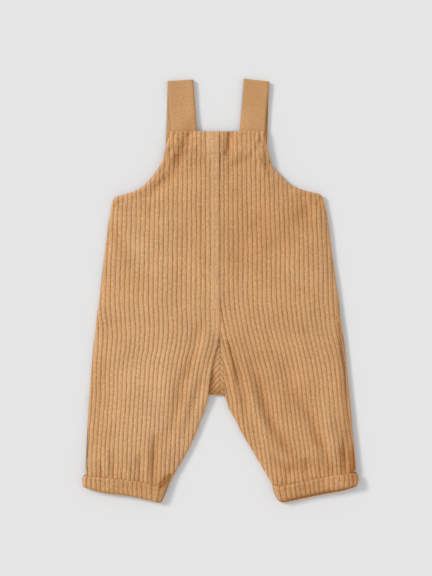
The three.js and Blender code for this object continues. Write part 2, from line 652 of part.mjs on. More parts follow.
// A strap's middle line from its end inside the front of the bib, over the shoulder fold, to its end at the back
function strap(which) {
  const { frontLow, foldAcross, backLow, slant, top } = STRAPS[which];
  const half = STRAP_CLOTH / 2;
  const frontRest = BACK_CLOTH + 2 * SEAM_GAP + STRAP_CLOTH + half;
  const backRest = BACK_CLOTH + SEAM_GAP + half;
  const radius = (STRAP_TOP_HEIGHT - half) / 2;
  const foldUp = top - radius - half;
  const at = (low, up, z) => {
    const across = lerp(low, foldAcross, (up - STRAP_END) / (foldUp - STRAP_END));
    return new THREE.Vector3(across, up, z);
  };
  const path = [
    at(frontLow, STRAP_END, frontRest),
    at(frontLow, STRAP_IN_BIB, frontRest),
    at(frontLow, BIB_TOP + 2, frontRest),
    at(frontLow, STRAP_PAST_BIB, frontRest - SEAM_GAP),
    at(frontLow, STRAP_NEAR_FOLD, STRAP_TOP_HEIGHT),
    ...evenly(0, Math.PI, STRAP_FOLD_STEPS).map(
      (angle) =>
        new THREE.Vector3(foldAcross, foldUp + radius * Math.sin(angle), half + radius * (1 + Math.cos(angle))),
    ),
    at(backLow, STRAP_NEAR_FOLD, half),
    at(backLow, STRAP_PAST_BIB, half),
    at(backLow, BIB_TOP, backRest),
    at(backLow, STRAP_IN_BIB, backRest),
    at(backLow, STRAP_END, backRest),
  ];
  return ribbon(path, THREE.MathUtils.degToRad(slant));
}

// A flat tape swept along a path, with a ring of points round its section at each step
function ribbon(path, slant) {
  const wide = new THREE.Vector3(Math.cos(slant), Math.sin(slant), 0);
  const upper = [-SELVEDGE, 0, SELVEDGE].map((across) => [across, 1]);
  const lower = [SELVEDGE, 0, -SELVEDGE].map((across) => [across, -1]);
  const section = [[-1, 0], ...upper, [1, 0], ...lower];
  const ring = section.length;
  const positions = path.flatMap((p, i) => {
    const along = path[Math.min(i + 1, path.length - 1)].clone().sub(path[Math.max(i - 1, 0)]);
    const normal = wide.clone().cross(along).normalize();
    return section.flatMap(([across, thick]) =>
      p
        .clone()
        .addScaledVector(wide, (across * STRAP_WIDTH) / 2)
        .addScaledVector(normal, (thick * STRAP_CLOTH) / 2)
        .toArray(),
    );
  });
  const index = [];
  for (let i = 1; i < path.length; i++) {
    for (let j = 0; j < ring; j++) {
      const [a, b] = [(i - 1) * ring + j, (i - 1) * ring + ((j + 1) % ring)];
      index.push(a, b, b + ring, a, b + ring, a + ring);
    }
  }
  const last = (path.length - 1) * ring;
  for (let j = 1; j < ring - 1; j++) {
    index.push(0, j + 1, j);
    index.push(last, last + j, last + j + 1);
  }
  return meshOf(positions, index);
}

const dungarees = new THREE.Group();

function add(name, geometry, finish) {
  const mesh = new THREE.Mesh(geometry, finish);
  mesh.name = name;
  dungarees.add(mesh);
}

['left', 'right'].forEach((leg) => {
  add(`front_${leg}`, frontPanel(leg), CLOTH_FINISH);
  add(`back_${leg}`, backPanel(leg), CLOTH_FINISH);
  add(`fork_${leg}`, forkPanel(leg), CLOTH_FINISH);
  add(`cuff_${leg}_front`, cuffHalf(leg, true), CUFF_FINISH);
  add(`cuff_${leg}_back`, cuffHalf(leg, false), CUFF_FINISH);
  add(`strap_${leg}`, strap(leg), TAPE_FINISH);
});

// The origin is the middle of the garment's box, on the surface that it lies on
const box = new THREE.Box3().setFromObject(dungarees);
dungarees.children.forEach((mesh) => {
  mesh.position.set(-(box.min.x + box.max.x) / 2, -(box.min.y + box.max.y) / 2, 0);
});

export default dungarees;
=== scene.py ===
"""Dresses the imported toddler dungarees: ribbed corduroy shells, cuffs, tape straps, stitching and the studio."""
import math

import bmesh
import bpy
import numpy as np
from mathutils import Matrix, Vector


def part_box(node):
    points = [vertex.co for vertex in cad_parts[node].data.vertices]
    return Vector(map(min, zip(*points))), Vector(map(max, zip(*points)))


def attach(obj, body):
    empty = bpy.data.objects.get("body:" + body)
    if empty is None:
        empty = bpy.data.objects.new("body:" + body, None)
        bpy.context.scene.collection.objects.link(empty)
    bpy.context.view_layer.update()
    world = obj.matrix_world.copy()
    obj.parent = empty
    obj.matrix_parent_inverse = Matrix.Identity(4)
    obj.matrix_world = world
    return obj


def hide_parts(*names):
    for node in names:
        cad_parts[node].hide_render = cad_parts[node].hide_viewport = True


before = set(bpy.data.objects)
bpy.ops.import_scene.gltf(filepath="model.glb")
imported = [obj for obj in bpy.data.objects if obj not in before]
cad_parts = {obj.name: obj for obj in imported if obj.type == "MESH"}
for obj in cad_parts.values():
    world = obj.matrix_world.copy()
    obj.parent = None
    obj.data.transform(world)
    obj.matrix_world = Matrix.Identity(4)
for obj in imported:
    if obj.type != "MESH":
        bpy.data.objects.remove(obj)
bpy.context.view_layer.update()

bl_info = {
    "name": "Toddler dungarees",
    "version": (1, 0, 0),
    "blender": (4, 5, 0),
    "location": "View3D > Sidebar > Dungarees",
    "description": "Ribbed corduroy dungarees laid flat, on their packed frame",
    "category": "Object",
}

MM = 0.001
PHOTO_SIZE = (432, 576)  # pixels
PHOTO_ZERO = (219.5, 503.5)  # the pixel of the garment's zero point
PIXEL = 1.2  # millimetres on the garment to a pixel


# Tables and heights. Lengths here are millimetres on the garment: "across" from the centre front seam, "up" from
# the lowest point of the hems. place() turns them into metres in the frame.


def table(names, *rows):
    """A short table as a dictionary of its named columns."""
    return dict(zip(names.split(), np.array(rows, float).T))


SIDE_SEAMS = table(
    "up left right",
    (12, 157.6, 158.6),
    (30, 159.2, 160),
    (38, 160.8, 160.8),
    (44, 161, 163),
    (88, 158.4, 160.8),
    (136, 155.8, 155),
    (196, 150.4, 149),
    (244, 144.4, 142.6),
    (304, 137.4, 133.8),
    (340, 132.6, 129.8),
    (362, 128.8, 124.8),
)
INSEAMS = table(
    "up left right",
    (3, 73.4, 77),
    (10, 69, 71.2),
    (21, 62.9, 64.6),
    (36, 54, 55.6),
    (52, 45, 46.2),
    (67, 36.6, 37.4),
    (84, 28.8, 27.2),
    (100, 22.6, 19.2),
    (114, 17.2, 11.2),
    (129, 13.4, 6.4),
)
ARMHOLES = table(
    "left_across left_up right_across right_up",
    (58.8, 446.4, 54.6, 446.4),
    (60.6, 438.6, 55.2, 436.2),
    (64.2, 429, 57.6, 424.2),
    (68.2, 412.2, 62.6, 405.6),
    (75.4, 399.6, 70.4, 396.6),
    (84, 388.4, 78.6, 387.8),
    (95.4, 378, 88, 381),
    (109.8, 372, 104, 375),
    (123.6, 368, 120.6, 370.6),
    (128.8, 362, 124.8, 362),
)
WALES = table(
    "up left_start left_pitch right_start right_pitch right_edge",
    (28, -18.6, 5.16, 39, 5.16, 6.4),
    (64, -16.6, 5.2, 34.2, 5.24, 6.4),
    (100, -15.2, 5.16, 28.8, 5.26, 6.4),
    (129, -13.4, 5.14, 25.4, 5.28, 6.4),
    (150, -11, 5.24, 21.4, 5.4, 5.6),
    (172, -7, 5.36, 15.6, 5.52, 3.8),
    (190, -2, 5.5, 11, 5.54, 1.6),
    (208, 0.8, 5.6, 6.4, 5.56, 0.8),
    (244, 0.6, 5.7, 0.8, 5.64, 0.7),
    (304, 0.4, 5.6, 0.5, 5.6, 0.5),
    (388, 0, 5.48, 0, 5.45, 0),
    (446.4, 0, 5.4, 0, 5.4, 0),
)
# Creases of the front: how wide, how deep (a ridge below zero), and the places that each runs through.
# All taper to nothing at both ends.
CREASES = (
    # The left leg: fans from the crotch to the cuff, and gathers at the cuff
    (8, 1.9, (-15, 228), (-23, 210), (-28, 196), (-31, 180), (-36, 160), (-45, 140), (-49, 120), (-54, 100),
     (-60, 80), (-68, 60)),
    (4.5, 0.6, (-21, 158), (-26, 140), (-32, 120), (-38, 100), (-44, 80)),
    (6, -0.8, (-14, 212), (-22, 185), (-30, 160), (-38, 130), (-45, 105), (-52, 85), (-58, 60), (-68, 36)),
    (4, -0.6, (-11, 164), (-20, 130), (-27, 110), (-34, 88)),
    (11, -0.8, (-50, 214), (-62, 168), (-76, 122), (-88, 84), (-96, 56)),
    (4.6, 3.2, (-76, 84), (-78, 62), (-79, 42), (-78, 10)),
    (5, 1.8, (-94, 60), (-96, 42), (-94, 12)),
    (4, 1.6, (-108, 50), (-104, 36), (-97, 22)),
    (4.5, 1.6, (-129, 66), (-127, 46), (-125, 18)),
    (3.4, -0.8, (-135, 66), (-135, 52), (-136, 36)),
    (3.4, 1.0, (-143, 54), (-142, 42), (-140, 14)),
    (3.4, 1.0, (-118, 50), (-117, 40), (-114, 18)),
    (9, 1.0, (-132, 236), (-137, 190), (-142, 146), (-147, 100), (-150, 54)),
    # The right leg
    (6, 2.2, (9, 196), (12, 186), (17, 172), (22, 156), (26, 140), (30, 122), (35, 104)),
    (3.6, 1.2, (5, 172), (8, 156), (11, 140), (14, 118)),
    (3.4, -0.9, (8, 184), (13, 164), (17, 146), (20, 118)),
    (6, -1.3, (28, 170), (33, 142), (40, 120), (48, 100), (53, 84), (55, 62)),
    (6, 2.6, (36, 176), (42, 160), (49, 140), (53, 120), (61, 100), (72, 80), (83, 63), (98, 52), (118, 43)),
    (6.5, 2.5, (90, 136), (98, 120), (110, 101), (117, 80), (127, 62), (133, 46), (140, 28)),
    (6, -1.6, (127, 132), (129, 108), (132, 80), (137, 44)),
    (3.6, 1.4, (140, 246), (145, 210), (148, 180), (150, 160), (152, 130), (154, 100), (155, 76), (157, 48)),
    (3.8, 2.2, (148, 82), (149, 66), (149.5, 48), (151, 24)),
    (3.2, -0.7, (155, 70), (156, 50), (155, 30)),
    (6, 1.8, (60, 56), (76, 46), (92, 40), (108, 42)),
    (4, 1.4, (82, 44), (81, 30), (78, 12)),
    (4, -0.8, (90, 42), (88, 30), (86, 14)),
    (4, 1.2, (104, 56), (104, 40), (102, 14)),
    (4, 1.3, (120, 54), (121, 42), (120, 18)),
    (5, 0.8, (58, 214), (62, 190), (64, 168)),
    (8, 0.9, (78, 176), (82, 150), (86, 122)),
    (7, 0.8, (98, 222), (108, 196), (120, 176)),
    # The bib and the chest
    (4, 3.2, (12, 476), (12.5, 446), (12, 434), (9, 410)),
    (6, 2.9, (-32, 466), (-39, 442), (-44, 430), (-49, 415), (-54, 401), (-64, 388), (-79, 377), (-95, 366)),
    (4, 0.6, (-24, 380), (-22, 350), (-17, 280), (-15, 250), (-19, 215)),
    (2.8, 0.8, (-37, 452), (-36, 434), (-38, 416)),
    (5, 1.5, (42, 420), (26, 410), (13, 402), (11, 380)),
    (8, 1.5, (120, 374), (110, 361), (101, 350), (90, 334)),
    (5, -1.1, (108, 358), (114, 350), (117, 336)),
    (4, 1.0, (124, 366), (117, 366), (106, 368)),
    (4, 0.9, (52, 414), (60, 402), (72, 390)),
    (9, 1.1, (-128, 336), (-119, 314), (-102, 280)),
    (4, 1.0, (-124, 358), (-112, 352), (-98, 352)),
    (5, 0.8, (-92, 362), (-84, 354), (-82, 340)),
    (11, -0.9, (-120, 346), (-104, 320), (-86, 292), (-70, 272)),
    (5, 0.6, (30, 362), (34, 350), (36, 338)),
    (12, 0.8, (50, 350), (30, 320), (16, 280)),
    (14, -0.8, (60, 300), (90, 282), (128, 270)),
    (10, 0.7, (-30, 350), (-44, 300), (-50, 250)),
)
# Painted light and shade: patches where the cloth's colour is made lighter or darker to stand in for the light from the
# left, the folds and the shadows at edges, seams and cuffs: across, up, how wide, how tall, and how much lighter or
# darker
PAINTED_LIGHT_AND_SHADE = (
    (-92, 130, 46, 95, 0.085),
    (-80, 300, 45, 50, 0.04),
    (-36, 250, 40, 60, 0.03),
    (-14, 436, 9, 14, 0.07),
    (-50, 420, 20, 30, -0.06),
    (50, 330, 60, 70, -0.085),
    (95, 325, 40, 40, -0.03),
    (-105, 262, 30, 20, -0.03),
    (95, 245, 30, 16, -0.03),
    (-146, 210, 14, 40, 0.03),
    (80, 110, 66, 110, -0.075),
    (112, 350, 26, 26, -0.08),
    (96, 200, 34, 34, 0.03),
    (36, 276, 12, 12, 0.04),
    (86, 276, 12, 12, 0.04),
    (150, 150, 9, 90, -0.06),
    (147, 205, 5, 36, -0.07),
    (156, 50, 9, 26, -0.14),
    (147, 58, 4, 16, -0.16),
    (112, 44, 40, 9, -0.08),
    (72, 96, 26, 26, 0.03),
    (30, 150, 22, 50, -0.04),
    (13, 172, 4, 14, -0.1),
    (19, 154, 4, 14, -0.2),
    (9, 432, 3, 14, -0.2),
    (-17, 150, 7, 22, 0.03),
    (-22, 112, 9, 20, 0.09),
    (-38, 76, 9, 20, 0.08),
    (-52, 120, 12, 34, -0.03),
    (-76, 52, 12, 20, -0.08),
    (50, 446, 14, 22, 0.03),
    (-158, 200, 6, 140, 0.04),
    (-64, 24, 7, 9, -0.24),
    (-70.5, 22, 2.6, 4, -0.4),
    (-66.5, 27.5, 2.8, 4, -0.4),
    (-61.5, 32.5, 3.6, 3.4, -0.4),
    (0.6, 434, 1.4, 24, -0.26),
    (0.6, 330, 1.4, 96, -0.16),
    (-110, 16, 50, 12, -0.125),
    (112, 14, 50, 13, -0.175),
    (161, 28, 8, 14, -0.16),
    (159, 52, 4, 18, -0.34),
    (-47, 480, 19, 36, -0.05),
    (-54, 475, 4, 26, -0.04),
    (-38, 480, 4, 26, 0.03),
    (44, 480, 19, 36, -0.1),
    (57.5, 462, 2, 16, -0.35),
)
# The same for the fork alone: painted shadow under the left front's edge, and painted shade at the fork's own lower
# edge
FORK_PAINTED_SHADOW = (
    (-10, 148, 5, 16, -0.34),
    (-4, 133, 13, 7, -0.34),
)
STRAPS = {
    "left": dict(front_low=-41, fold_across=-47, back_low=-49.6, slant=3.7, top=507.6),
    "right": dict(front_low=37.4, fold_across=44, back_low=41.4, slant=-6.4, top=507.9),
}
# Each cuff by its share from the outer side to the inner: the hem of its back, the hem of its front, its mouth
CUFFS = {
    "left": table(
        "share hem_across hem_up front_up top_across top_up",
        (0, -163.4, 20, 20.6, -162.8, 34),
        (0.22, -143, 14, 14.8, -143, 32.2),
        (0.58, -110, 9.6, 10.4, -110, 29),
        (0.84, -85, 4.4, 5.2, -86, 24.8),
        (0.92, -77, 2.4, 3.2, -76, 22),
        (0.96, -73.6, 1.4, 2.6, -67, 28),
        (1, -70, 1.6, 3.2, -57.5, 36.5),
    ),
    "right": table(
        "share hem_across hem_up front_up top_across top_up",
        (0, 163.6, 20.6, 21.6, 163.8, 37.6),
        (0.2, 147, 15.6, 18, 146, 35.8),
        (0.42, 125, 11.6, 14.6, 124, 32),
        (0.68, 101, 6.6, 9.8, 98, 26),
        (0.86, 84, 3, 5.6, 81, 23),
        (0.94, 76, 1.6, 4, 72, 21.8),
        (0.98, 71.4, 3, 5, 65.6, 22.4),
        (1, 69, 6.2, 7.6, 63, 23.4),
    ),
}
HEM_ENDS = {"left": ((-163.4, 20), (-70.6, 0.4)), "right": ((163.2, 18.4), (72.8, 1.6))}
HEM_PEEK = {"left": 0.8, "right": 3}
CUFF_BULGE = {"left": (1.4, 1.4), "right": (2.6, 1.0)}  # at the outer and the inner side
CUFF_FULL = 0.8

SIGN = {"left": -1, "right": 1}
CLOTH = 1.5
BACK_CLOTH = 2.0
SEAM_GAP = 0.3
HALF_GAP = SEAM_GAP / 2
RIM = 1.1
SIDE_ROUND = 9
EDGE_ROUND = 2.6
LOFT = 1.7
LEAST_LOFT = 0.45
PUFF = 2.8  # how much fuller the front lies than the solid, away from its edges
PUFF_REACH = 15
BIB_TOP = 446.4
BACK_BIB_TOP = 443
UNDERARM = 362
SEAM_START = 208
CROTCH = 129
CROTCH_FOLD = 130.8
FORK_LOFT = 2.5
FORK_TOP = 196
FORK_TUCK = 2.4
BELOW_FORK = 22  # how far below the crotch the fronts start to rise over the fork
FORK_SLANT = 0.9
FORK_SPACING = 6.8
FORK_MIDDLE = {"left": -8, "right": 5}
STRAP_WIDTH = 30.6
STRAP_CLOTH = 1.2
STRAP_END = 424
STRAP_SEAT = (402, 421)  # over these heights the front rises on to the ends of the straps
STRAP_TOP_HEIGHT = 3.9
STRAP_LOFT = 2 * STRAP_CLOTH + 3 * SEAM_GAP
STRAP_ZONES = ((-68, -24), (20, 60))
CUFF_DEPTH = 18
CUFF_LIFT = 2.1
CUFF_LOFT = 0.9
CUFF_ROUND = 4.2
CUFF_EDGE_RISE = 0.5
CUFF_CREASE_SHARE = 0.5
CUFF_SINK = 2.4  # how deep the left cuff's inner end sinks
LEG_TOP = CUFF_LIFT + BACK_CLOTH + CUFF_LOFT + CLOTH  # the leg's own face inside the cuff
MOUTH = CUFF_LIFT + BACK_CLOTH + CUFF_LOFT / 2  # where the cuff's front and back halves meet
RAMP_START = 25
RAMP_END = 41
HEM_INSET = 3.4
BIB_HEM = 27
HEM_DROP = 10.5  # how much lower the stitched line of the bib's hem runs at the right armhole
ARM_HEM = 6.2
SEAM_BAND = 9
TOPSTITCH = 8
TOPSTITCH_REACH = 0.9
RIB_SHARPNESS = 3  # the higher, the flatter a rib's crest and the narrower its groove
RIB_PITCH = 5.6
PRESSED_RIB = 0.45  # the depth of the back's grooves
CREASE_ENDS = 0.6  # the lower, the more sudden a crease's ends
TROUGH_PAINTED_SHADE = 0.062  # painted shade: how much darker the cloth is coloured for each millimetre of a crease's trough
PAINTED_CREASE_LIMITS = (-1.2, 3.4)  # the highest ridge and the deepest trough that still change the painted light and shade
HEM_RISE = 0.6
STITCH_REACH = 1.2
STITCH_SINK = 0.35
TOPSTITCH_SINK = 0.2
SEAM_DIP = 0.35
SEAM_BAND_RISE = 0.75
SEAM_STRIP = 0.8  # half the width of the cloth at the bottom of the centre seam
OVER_BACK = 1.1  # the least height of the front's face over the back
OVER_FORK = 2.4  # and how much more it keeps over the fork
BACK_CREASE_SHARE = 0.3
BACK_HOLLOW = 0.8
BACK_STITCH_SINK = 0.3
FLOOR_CLEAR = 0.02
STITCH_RADIUS = 0.3
STITCH_SPACING = 1.22  # stitch lengths from one stitch to the next
STITCH_SIDES = 6
# Along a stitch: its thickness as a share of the whole, and its height over the cloth
STITCH_SIZES = np.array((0.5, 0.95, 1, 0.95, 0.5))
STITCH_ARCH = np.array((-0.45, 0, 0.13, 0, -0.45))

# Unevenness of the cloth, by kind: how strong it is, how wide and how tall its features are, and its seed
UNEVEN = {
    "crease_depth": (0.3, 9, 17, 61),
    "rib_sway": (1, 9, 15, 3),
    "rib_shake": (0.03, 5, 4, 4),
    "rib_size": (0.2, 7, 22, 5),
    "rib_beads": (0.15, 5.5, 3.2, 6),
    "armhole_puckers": (1.0, 5.2, 6.5, 11),
    "hem_puckers": (0.75, 4.6, 5, 12),
    "strap_puckers": (0.85, 3.6, 2.7, 14),
    "seam_band": (0.2, 3.2, 3.6, 13),
    "stitch_groove_shade": (1, 2.2, 2.2, 15),
    "swell": (0.5, 40, 55, 21),
    "ripple": (0.3, 16, 30, 22),
    "gathers": (0.5, 6, 12, 23),
    "back": (0.12, 14, 30, 71),
    "fork": (0.25, 7, 12, 31),
    "cuff_ribs": (0.3, 8, 14, 41),
    "cuff_swell": (0.5, 15, 14, 42),
    "cuff_ripple": (0.3, 7, 9, 43),
    "cuff_hem": (0.35, 11, 9, 45),
    "cuff_mouth": (0.45, 8, 9, 46),
    "tape": (0.3, 10, 16, 51),
}

UNEVEN_GRID = 64  # random values each way, before they repeat
UNEVEN_SHIFT = (200.3, 200.7)  # keeps the middle of the garment off the grid's own lines

# The frame's own position of the garment's zero point
ORIGIN = Vector((
    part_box("back_right")[0][0] / MM - HALF_GAP,
    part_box("front_left")[1][1] / MM - BIB_TOP,
    0,
))


def place(points):
    """Millimetres on the garment as metres in the frame."""
    return (np.asarray(points, float) + np.array(ORIGIN)) * MM


def hermite(a, b, start, end, t):
    """The way from a to b, with its slopes at the start and the end."""
    rise = b - a
    return a + t * (start + t * (3 * rise - 2 * start - end + t * (start + end - 2 * rise)))


def column(rows, key, at, by="up"):
    """A smooth curve through one named column of a table, held level beyond its ends."""
    up, value = rows[by], rows[key]
    n = np.arange(len(up))
    after, before = np.minimum(n + 1, n[-1]), np.maximum(n - 1, 0)
    slope = (value[after] - value[before]) / (up[after] - up[before])
    at = np.clip(at, up[0], up[-1])
    i = np.clip(np.searchsorted(up, at, side="right") - 1, 0, len(up) - 2)
    step = up[i + 1] - up[i]
    return hermite(value[i], value[i + 1], slope[i] * step, slope[i + 1] * step, (at - up[i]) / step)


def lerp(a, b, t):
    return a + (b - a) * t


def smooth(x, low, high):
    t = np.clip((x - low) / (high - low), 0, 1)
    return t * t * (3 - 2 * t)


def bell(away, wide):
    """1 in the middle, falling to 0 on both sides."""
    return np.exp(-((away / wide) ** 2))


def band(x, low, high, before, after):
    """1 from low to high, with a soft rise before it and a soft fall after it."""
    return smooth(x, low - before, low) * (1 - smooth(x, high, high + after))


def rounded(distance, reach):
    """A quarter-circle rise from 0 at an edge to 1 at the given reach."""
    return np.sqrt(1 - (1 - np.clip(distance / reach, 0, 1)) ** 2)


def curve_through(points, steps):
    """Points at even steps along a smooth curve through the given ones."""
    p = np.asarray(points, float)
    t = np.linspace(0, len(p) - 1, steps + 1)
    i = np.minimum(t.astype(int), len(p) - 2)
    f = (t - i)[:, None]
    before, a, b, after = p[np.maximum(i - 1, 0)], p[i], p[i + 1], p[np.minimum(i + 2, len(p) - 1)]
    return hermite(a, b, (b - before) / 2, (after - a) / 2, f)


def uneven(kind, x, y):
    """Smooth uneven values of one kind, as high above zero as below it."""
    strength, wide, tall, seed = UNEVEN[kind]
    values = np.random.default_rng(seed).uniform(-1, 1, (UNEVEN_GRID, UNEVEN_GRID))
    gx, gy = x / wide + UNEVEN_SHIFT[0], y / tall + UNEVEN_SHIFT[1]
    i, j = np.floor(gx).astype(int), np.floor(gy).astype(int)
    fx, fy = gx - i, gy - j
    fx, fy = fx * fx * (3 - 2 * fx), fy * fy * (3 - 2 * fy)
    at = lambda a, b: values[a % UNEVEN_GRID, b % UNEVEN_GRID]
    low = lerp(at(i, j), at(i + 1, j), fx)
    high = lerp(at(i, j + 1), at(i + 1, j + 1), fx)
    return strength * lerp(low, high, fy)


def armhole_line(leg):
    points = np.stack([SIGN[leg] * ARMHOLES[leg + "_across"], ARMHOLES[leg + "_up"]], 1)
    return curve_through(points, 60)


def side_line(leg):
    up = np.linspace(UNDERARM, 8, 71)
    return np.stack([SIGN[leg] * column(SIDE_SEAMS, leg, up), up], 1)


def inseam_line(leg):
    up = np.linspace(0, CROTCH, 41)
    return np.stack([SIGN[leg] * column(INSEAMS, leg, up), up], 1)


LINES = {leg: dict(arm=armhole_line(leg), side=side_line(leg), inseam=inseam_line(leg)) for leg in SIGN}


def nearest(line, x, y):
    """How far each place is from a line of points, and the share of the line at which it is nearest."""
    best, part = np.full(np.shape(x), np.inf), np.zeros(np.shape(x))
    for i, ((ax, ay), (bx, by)) in enumerate(zip(line[:-1], line[1:])):
        dx, dy = bx - ax, by - ay
        t = np.clip(((x - ax) * dx + (y - ay) * dy) / (dx * dx + dy * dy), 0, 1)
        off = np.hypot(x - ax - t * dx, y - ay - t * dy)
        closer = off < best
        best, part = np.where(closer, off, best), np.where(closer, (i + t) / (len(line) - 1), part)
    return best, part


def distance_to(leg, key, x, y):
    return nearest(LINES[leg][key], x, y)[0]


def seam_across(up):
    return column(WALES, "left_start", np.maximum(up, SEAM_START))


def hem_up(leg, x):
    (outer_x, outer_up), (inner_x, inner_up) = HEM_ENDS[leg]
    return outer_up + (x - outer_x) / (inner_x - outer_x) * (inner_up - outer_up)


def cuff_top_up(leg, x):
    """The height of the cuff's mouth at a place across the leg."""
    rows = CUFFS[leg]
    order = np.argsort(rows["top_across"])
    return np.interp(x, rows["top_across"][order], rows["top_up"][order])


def outer_across(leg, y):
    """Half width of the garment on one side: the side seam, and above it the armhole."""
    arm = LINES[leg]["arm"][::-1]
    above = np.interp(y, arm[:, 1], SIGN[leg] * arm[:, 0])
    return np.where(y > UNDERARM, above, column(SIDE_SEAMS, leg, y))


def inner_across(leg, y):
    """The front's inner edge, away from the middle: the inseam, the edge over the fork, and the centre seam."""
    key = "left_start" if leg == "left" else "right_edge"
    centre = SIGN[leg] * column(WALES, key, y) + 0.03
    return np.where(y < CROTCH, column(INSEAMS, leg, y), centre)


def back_under(leg, x, y):
    above = y - hem_up(leg, x)
    return CUFF_LIFT * (1 - np.clip((above - RAMP_START) / (RAMP_END - RAMP_START), 0, 1))


def back_over(leg, x, y):
    return back_under(leg, x, y) + BACK_CLOTH


def creased(x, y):
    """The summed depth of all the creases."""
    total = np.zeros(np.shape(x))
    for wide, deep, *places in CREASES:
        line = curve_through(places, 7 * (len(places) - 1))
        low, high = line.min(0) - 3 * wide, line.max(0) + 3 * wide  # past this it is as good as flat
        near = (x > low[0]) & (x < high[0]) & (y > low[1]) & (y < high[1])
        away, part = nearest(line, x[near], y[near])
        deep = deep * (1 + uneven("crease_depth", x[near], y[near]))
        total[near] += deep * np.sin(np.pi * part) ** CREASE_ENDS * bell(away, wide)
    return total


def painted_light_and_shade_of(x, y, painted_patches):
    """Painted light and shade in the cloth's colour: painted shade in the creases' troughs and painted light on their
    ridges, and patches made lighter and darker where light and shade fall on the garment.
    """
    tone = 1 - TROUGH_PAINTED_SHADE * np.clip(creased(x, y), *PAINTED_CREASE_LIMITS)
    for across, up, wide, tall, lighter in painted_patches:
        tone = tone + lighter * bell(x - across, wide) * bell(y - up, tall)
    return tone


def hem_depth(x):
    """How far below the bib's top its hem is stitched."""
    return BIB_HEM + HEM_DROP * smooth(x, 16, 62)


def over_fork(leg, x, y):
    across = 1 - smooth(np.abs(x - FORK_MIDDLE[leg]), 9, 16)
    return across * band(y, CROTCH, FORK_TOP, BELOW_FORK, 18)


def loft(leg, x, y):
    """The air between the front and the back."""
    above = y - hem_up(leg, x)
    air = lerp(CUFF_LOFT, LOFT, smooth(above, RAMP_START + 1, RAMP_END + 14))
    air = lerp(air, np.maximum(air, FORK_LOFT), over_fork(leg, x, y))
    tall = smooth(y, *STRAP_SEAT)
    for low, high in STRAP_ZONES:
        air = lerp(air, np.maximum(air, STRAP_LOFT), band(x, low, high, 9, 9) * tall)
    return air


def close_distance(leg, x, y):
    return np.minimum(distance_to(leg, "side", x, y), distance_to(leg, "inseam", x, y))


def front_under(leg, x, y, close):
    closed = np.maximum(rounded(close, SIDE_ROUND), over_fork(leg, x, y))
    return back_over(leg, x, y) + LEAST_LOFT + (loft(leg, x, y) - LEAST_LOFT) * closed


def rib(number, x, y, loose=0.05):
    """A rib's height from 0 in its grooves to 1 on its crest, wavering sideways by the loose share of a rib."""
    number = number + loose * uneven("rib_sway", x, y) + uneven("rib_shake", x, y)
    phase = number - np.floor(number)
    return 1 - np.abs(2 * phase - 1) ** RIB_SHARPNESS


def wale_number(leg, x, y):
    sign = SIGN[leg]
    return sign * (x - column(WALES, leg + "_start", y)) / column(WALES, leg + "_pitch", y)


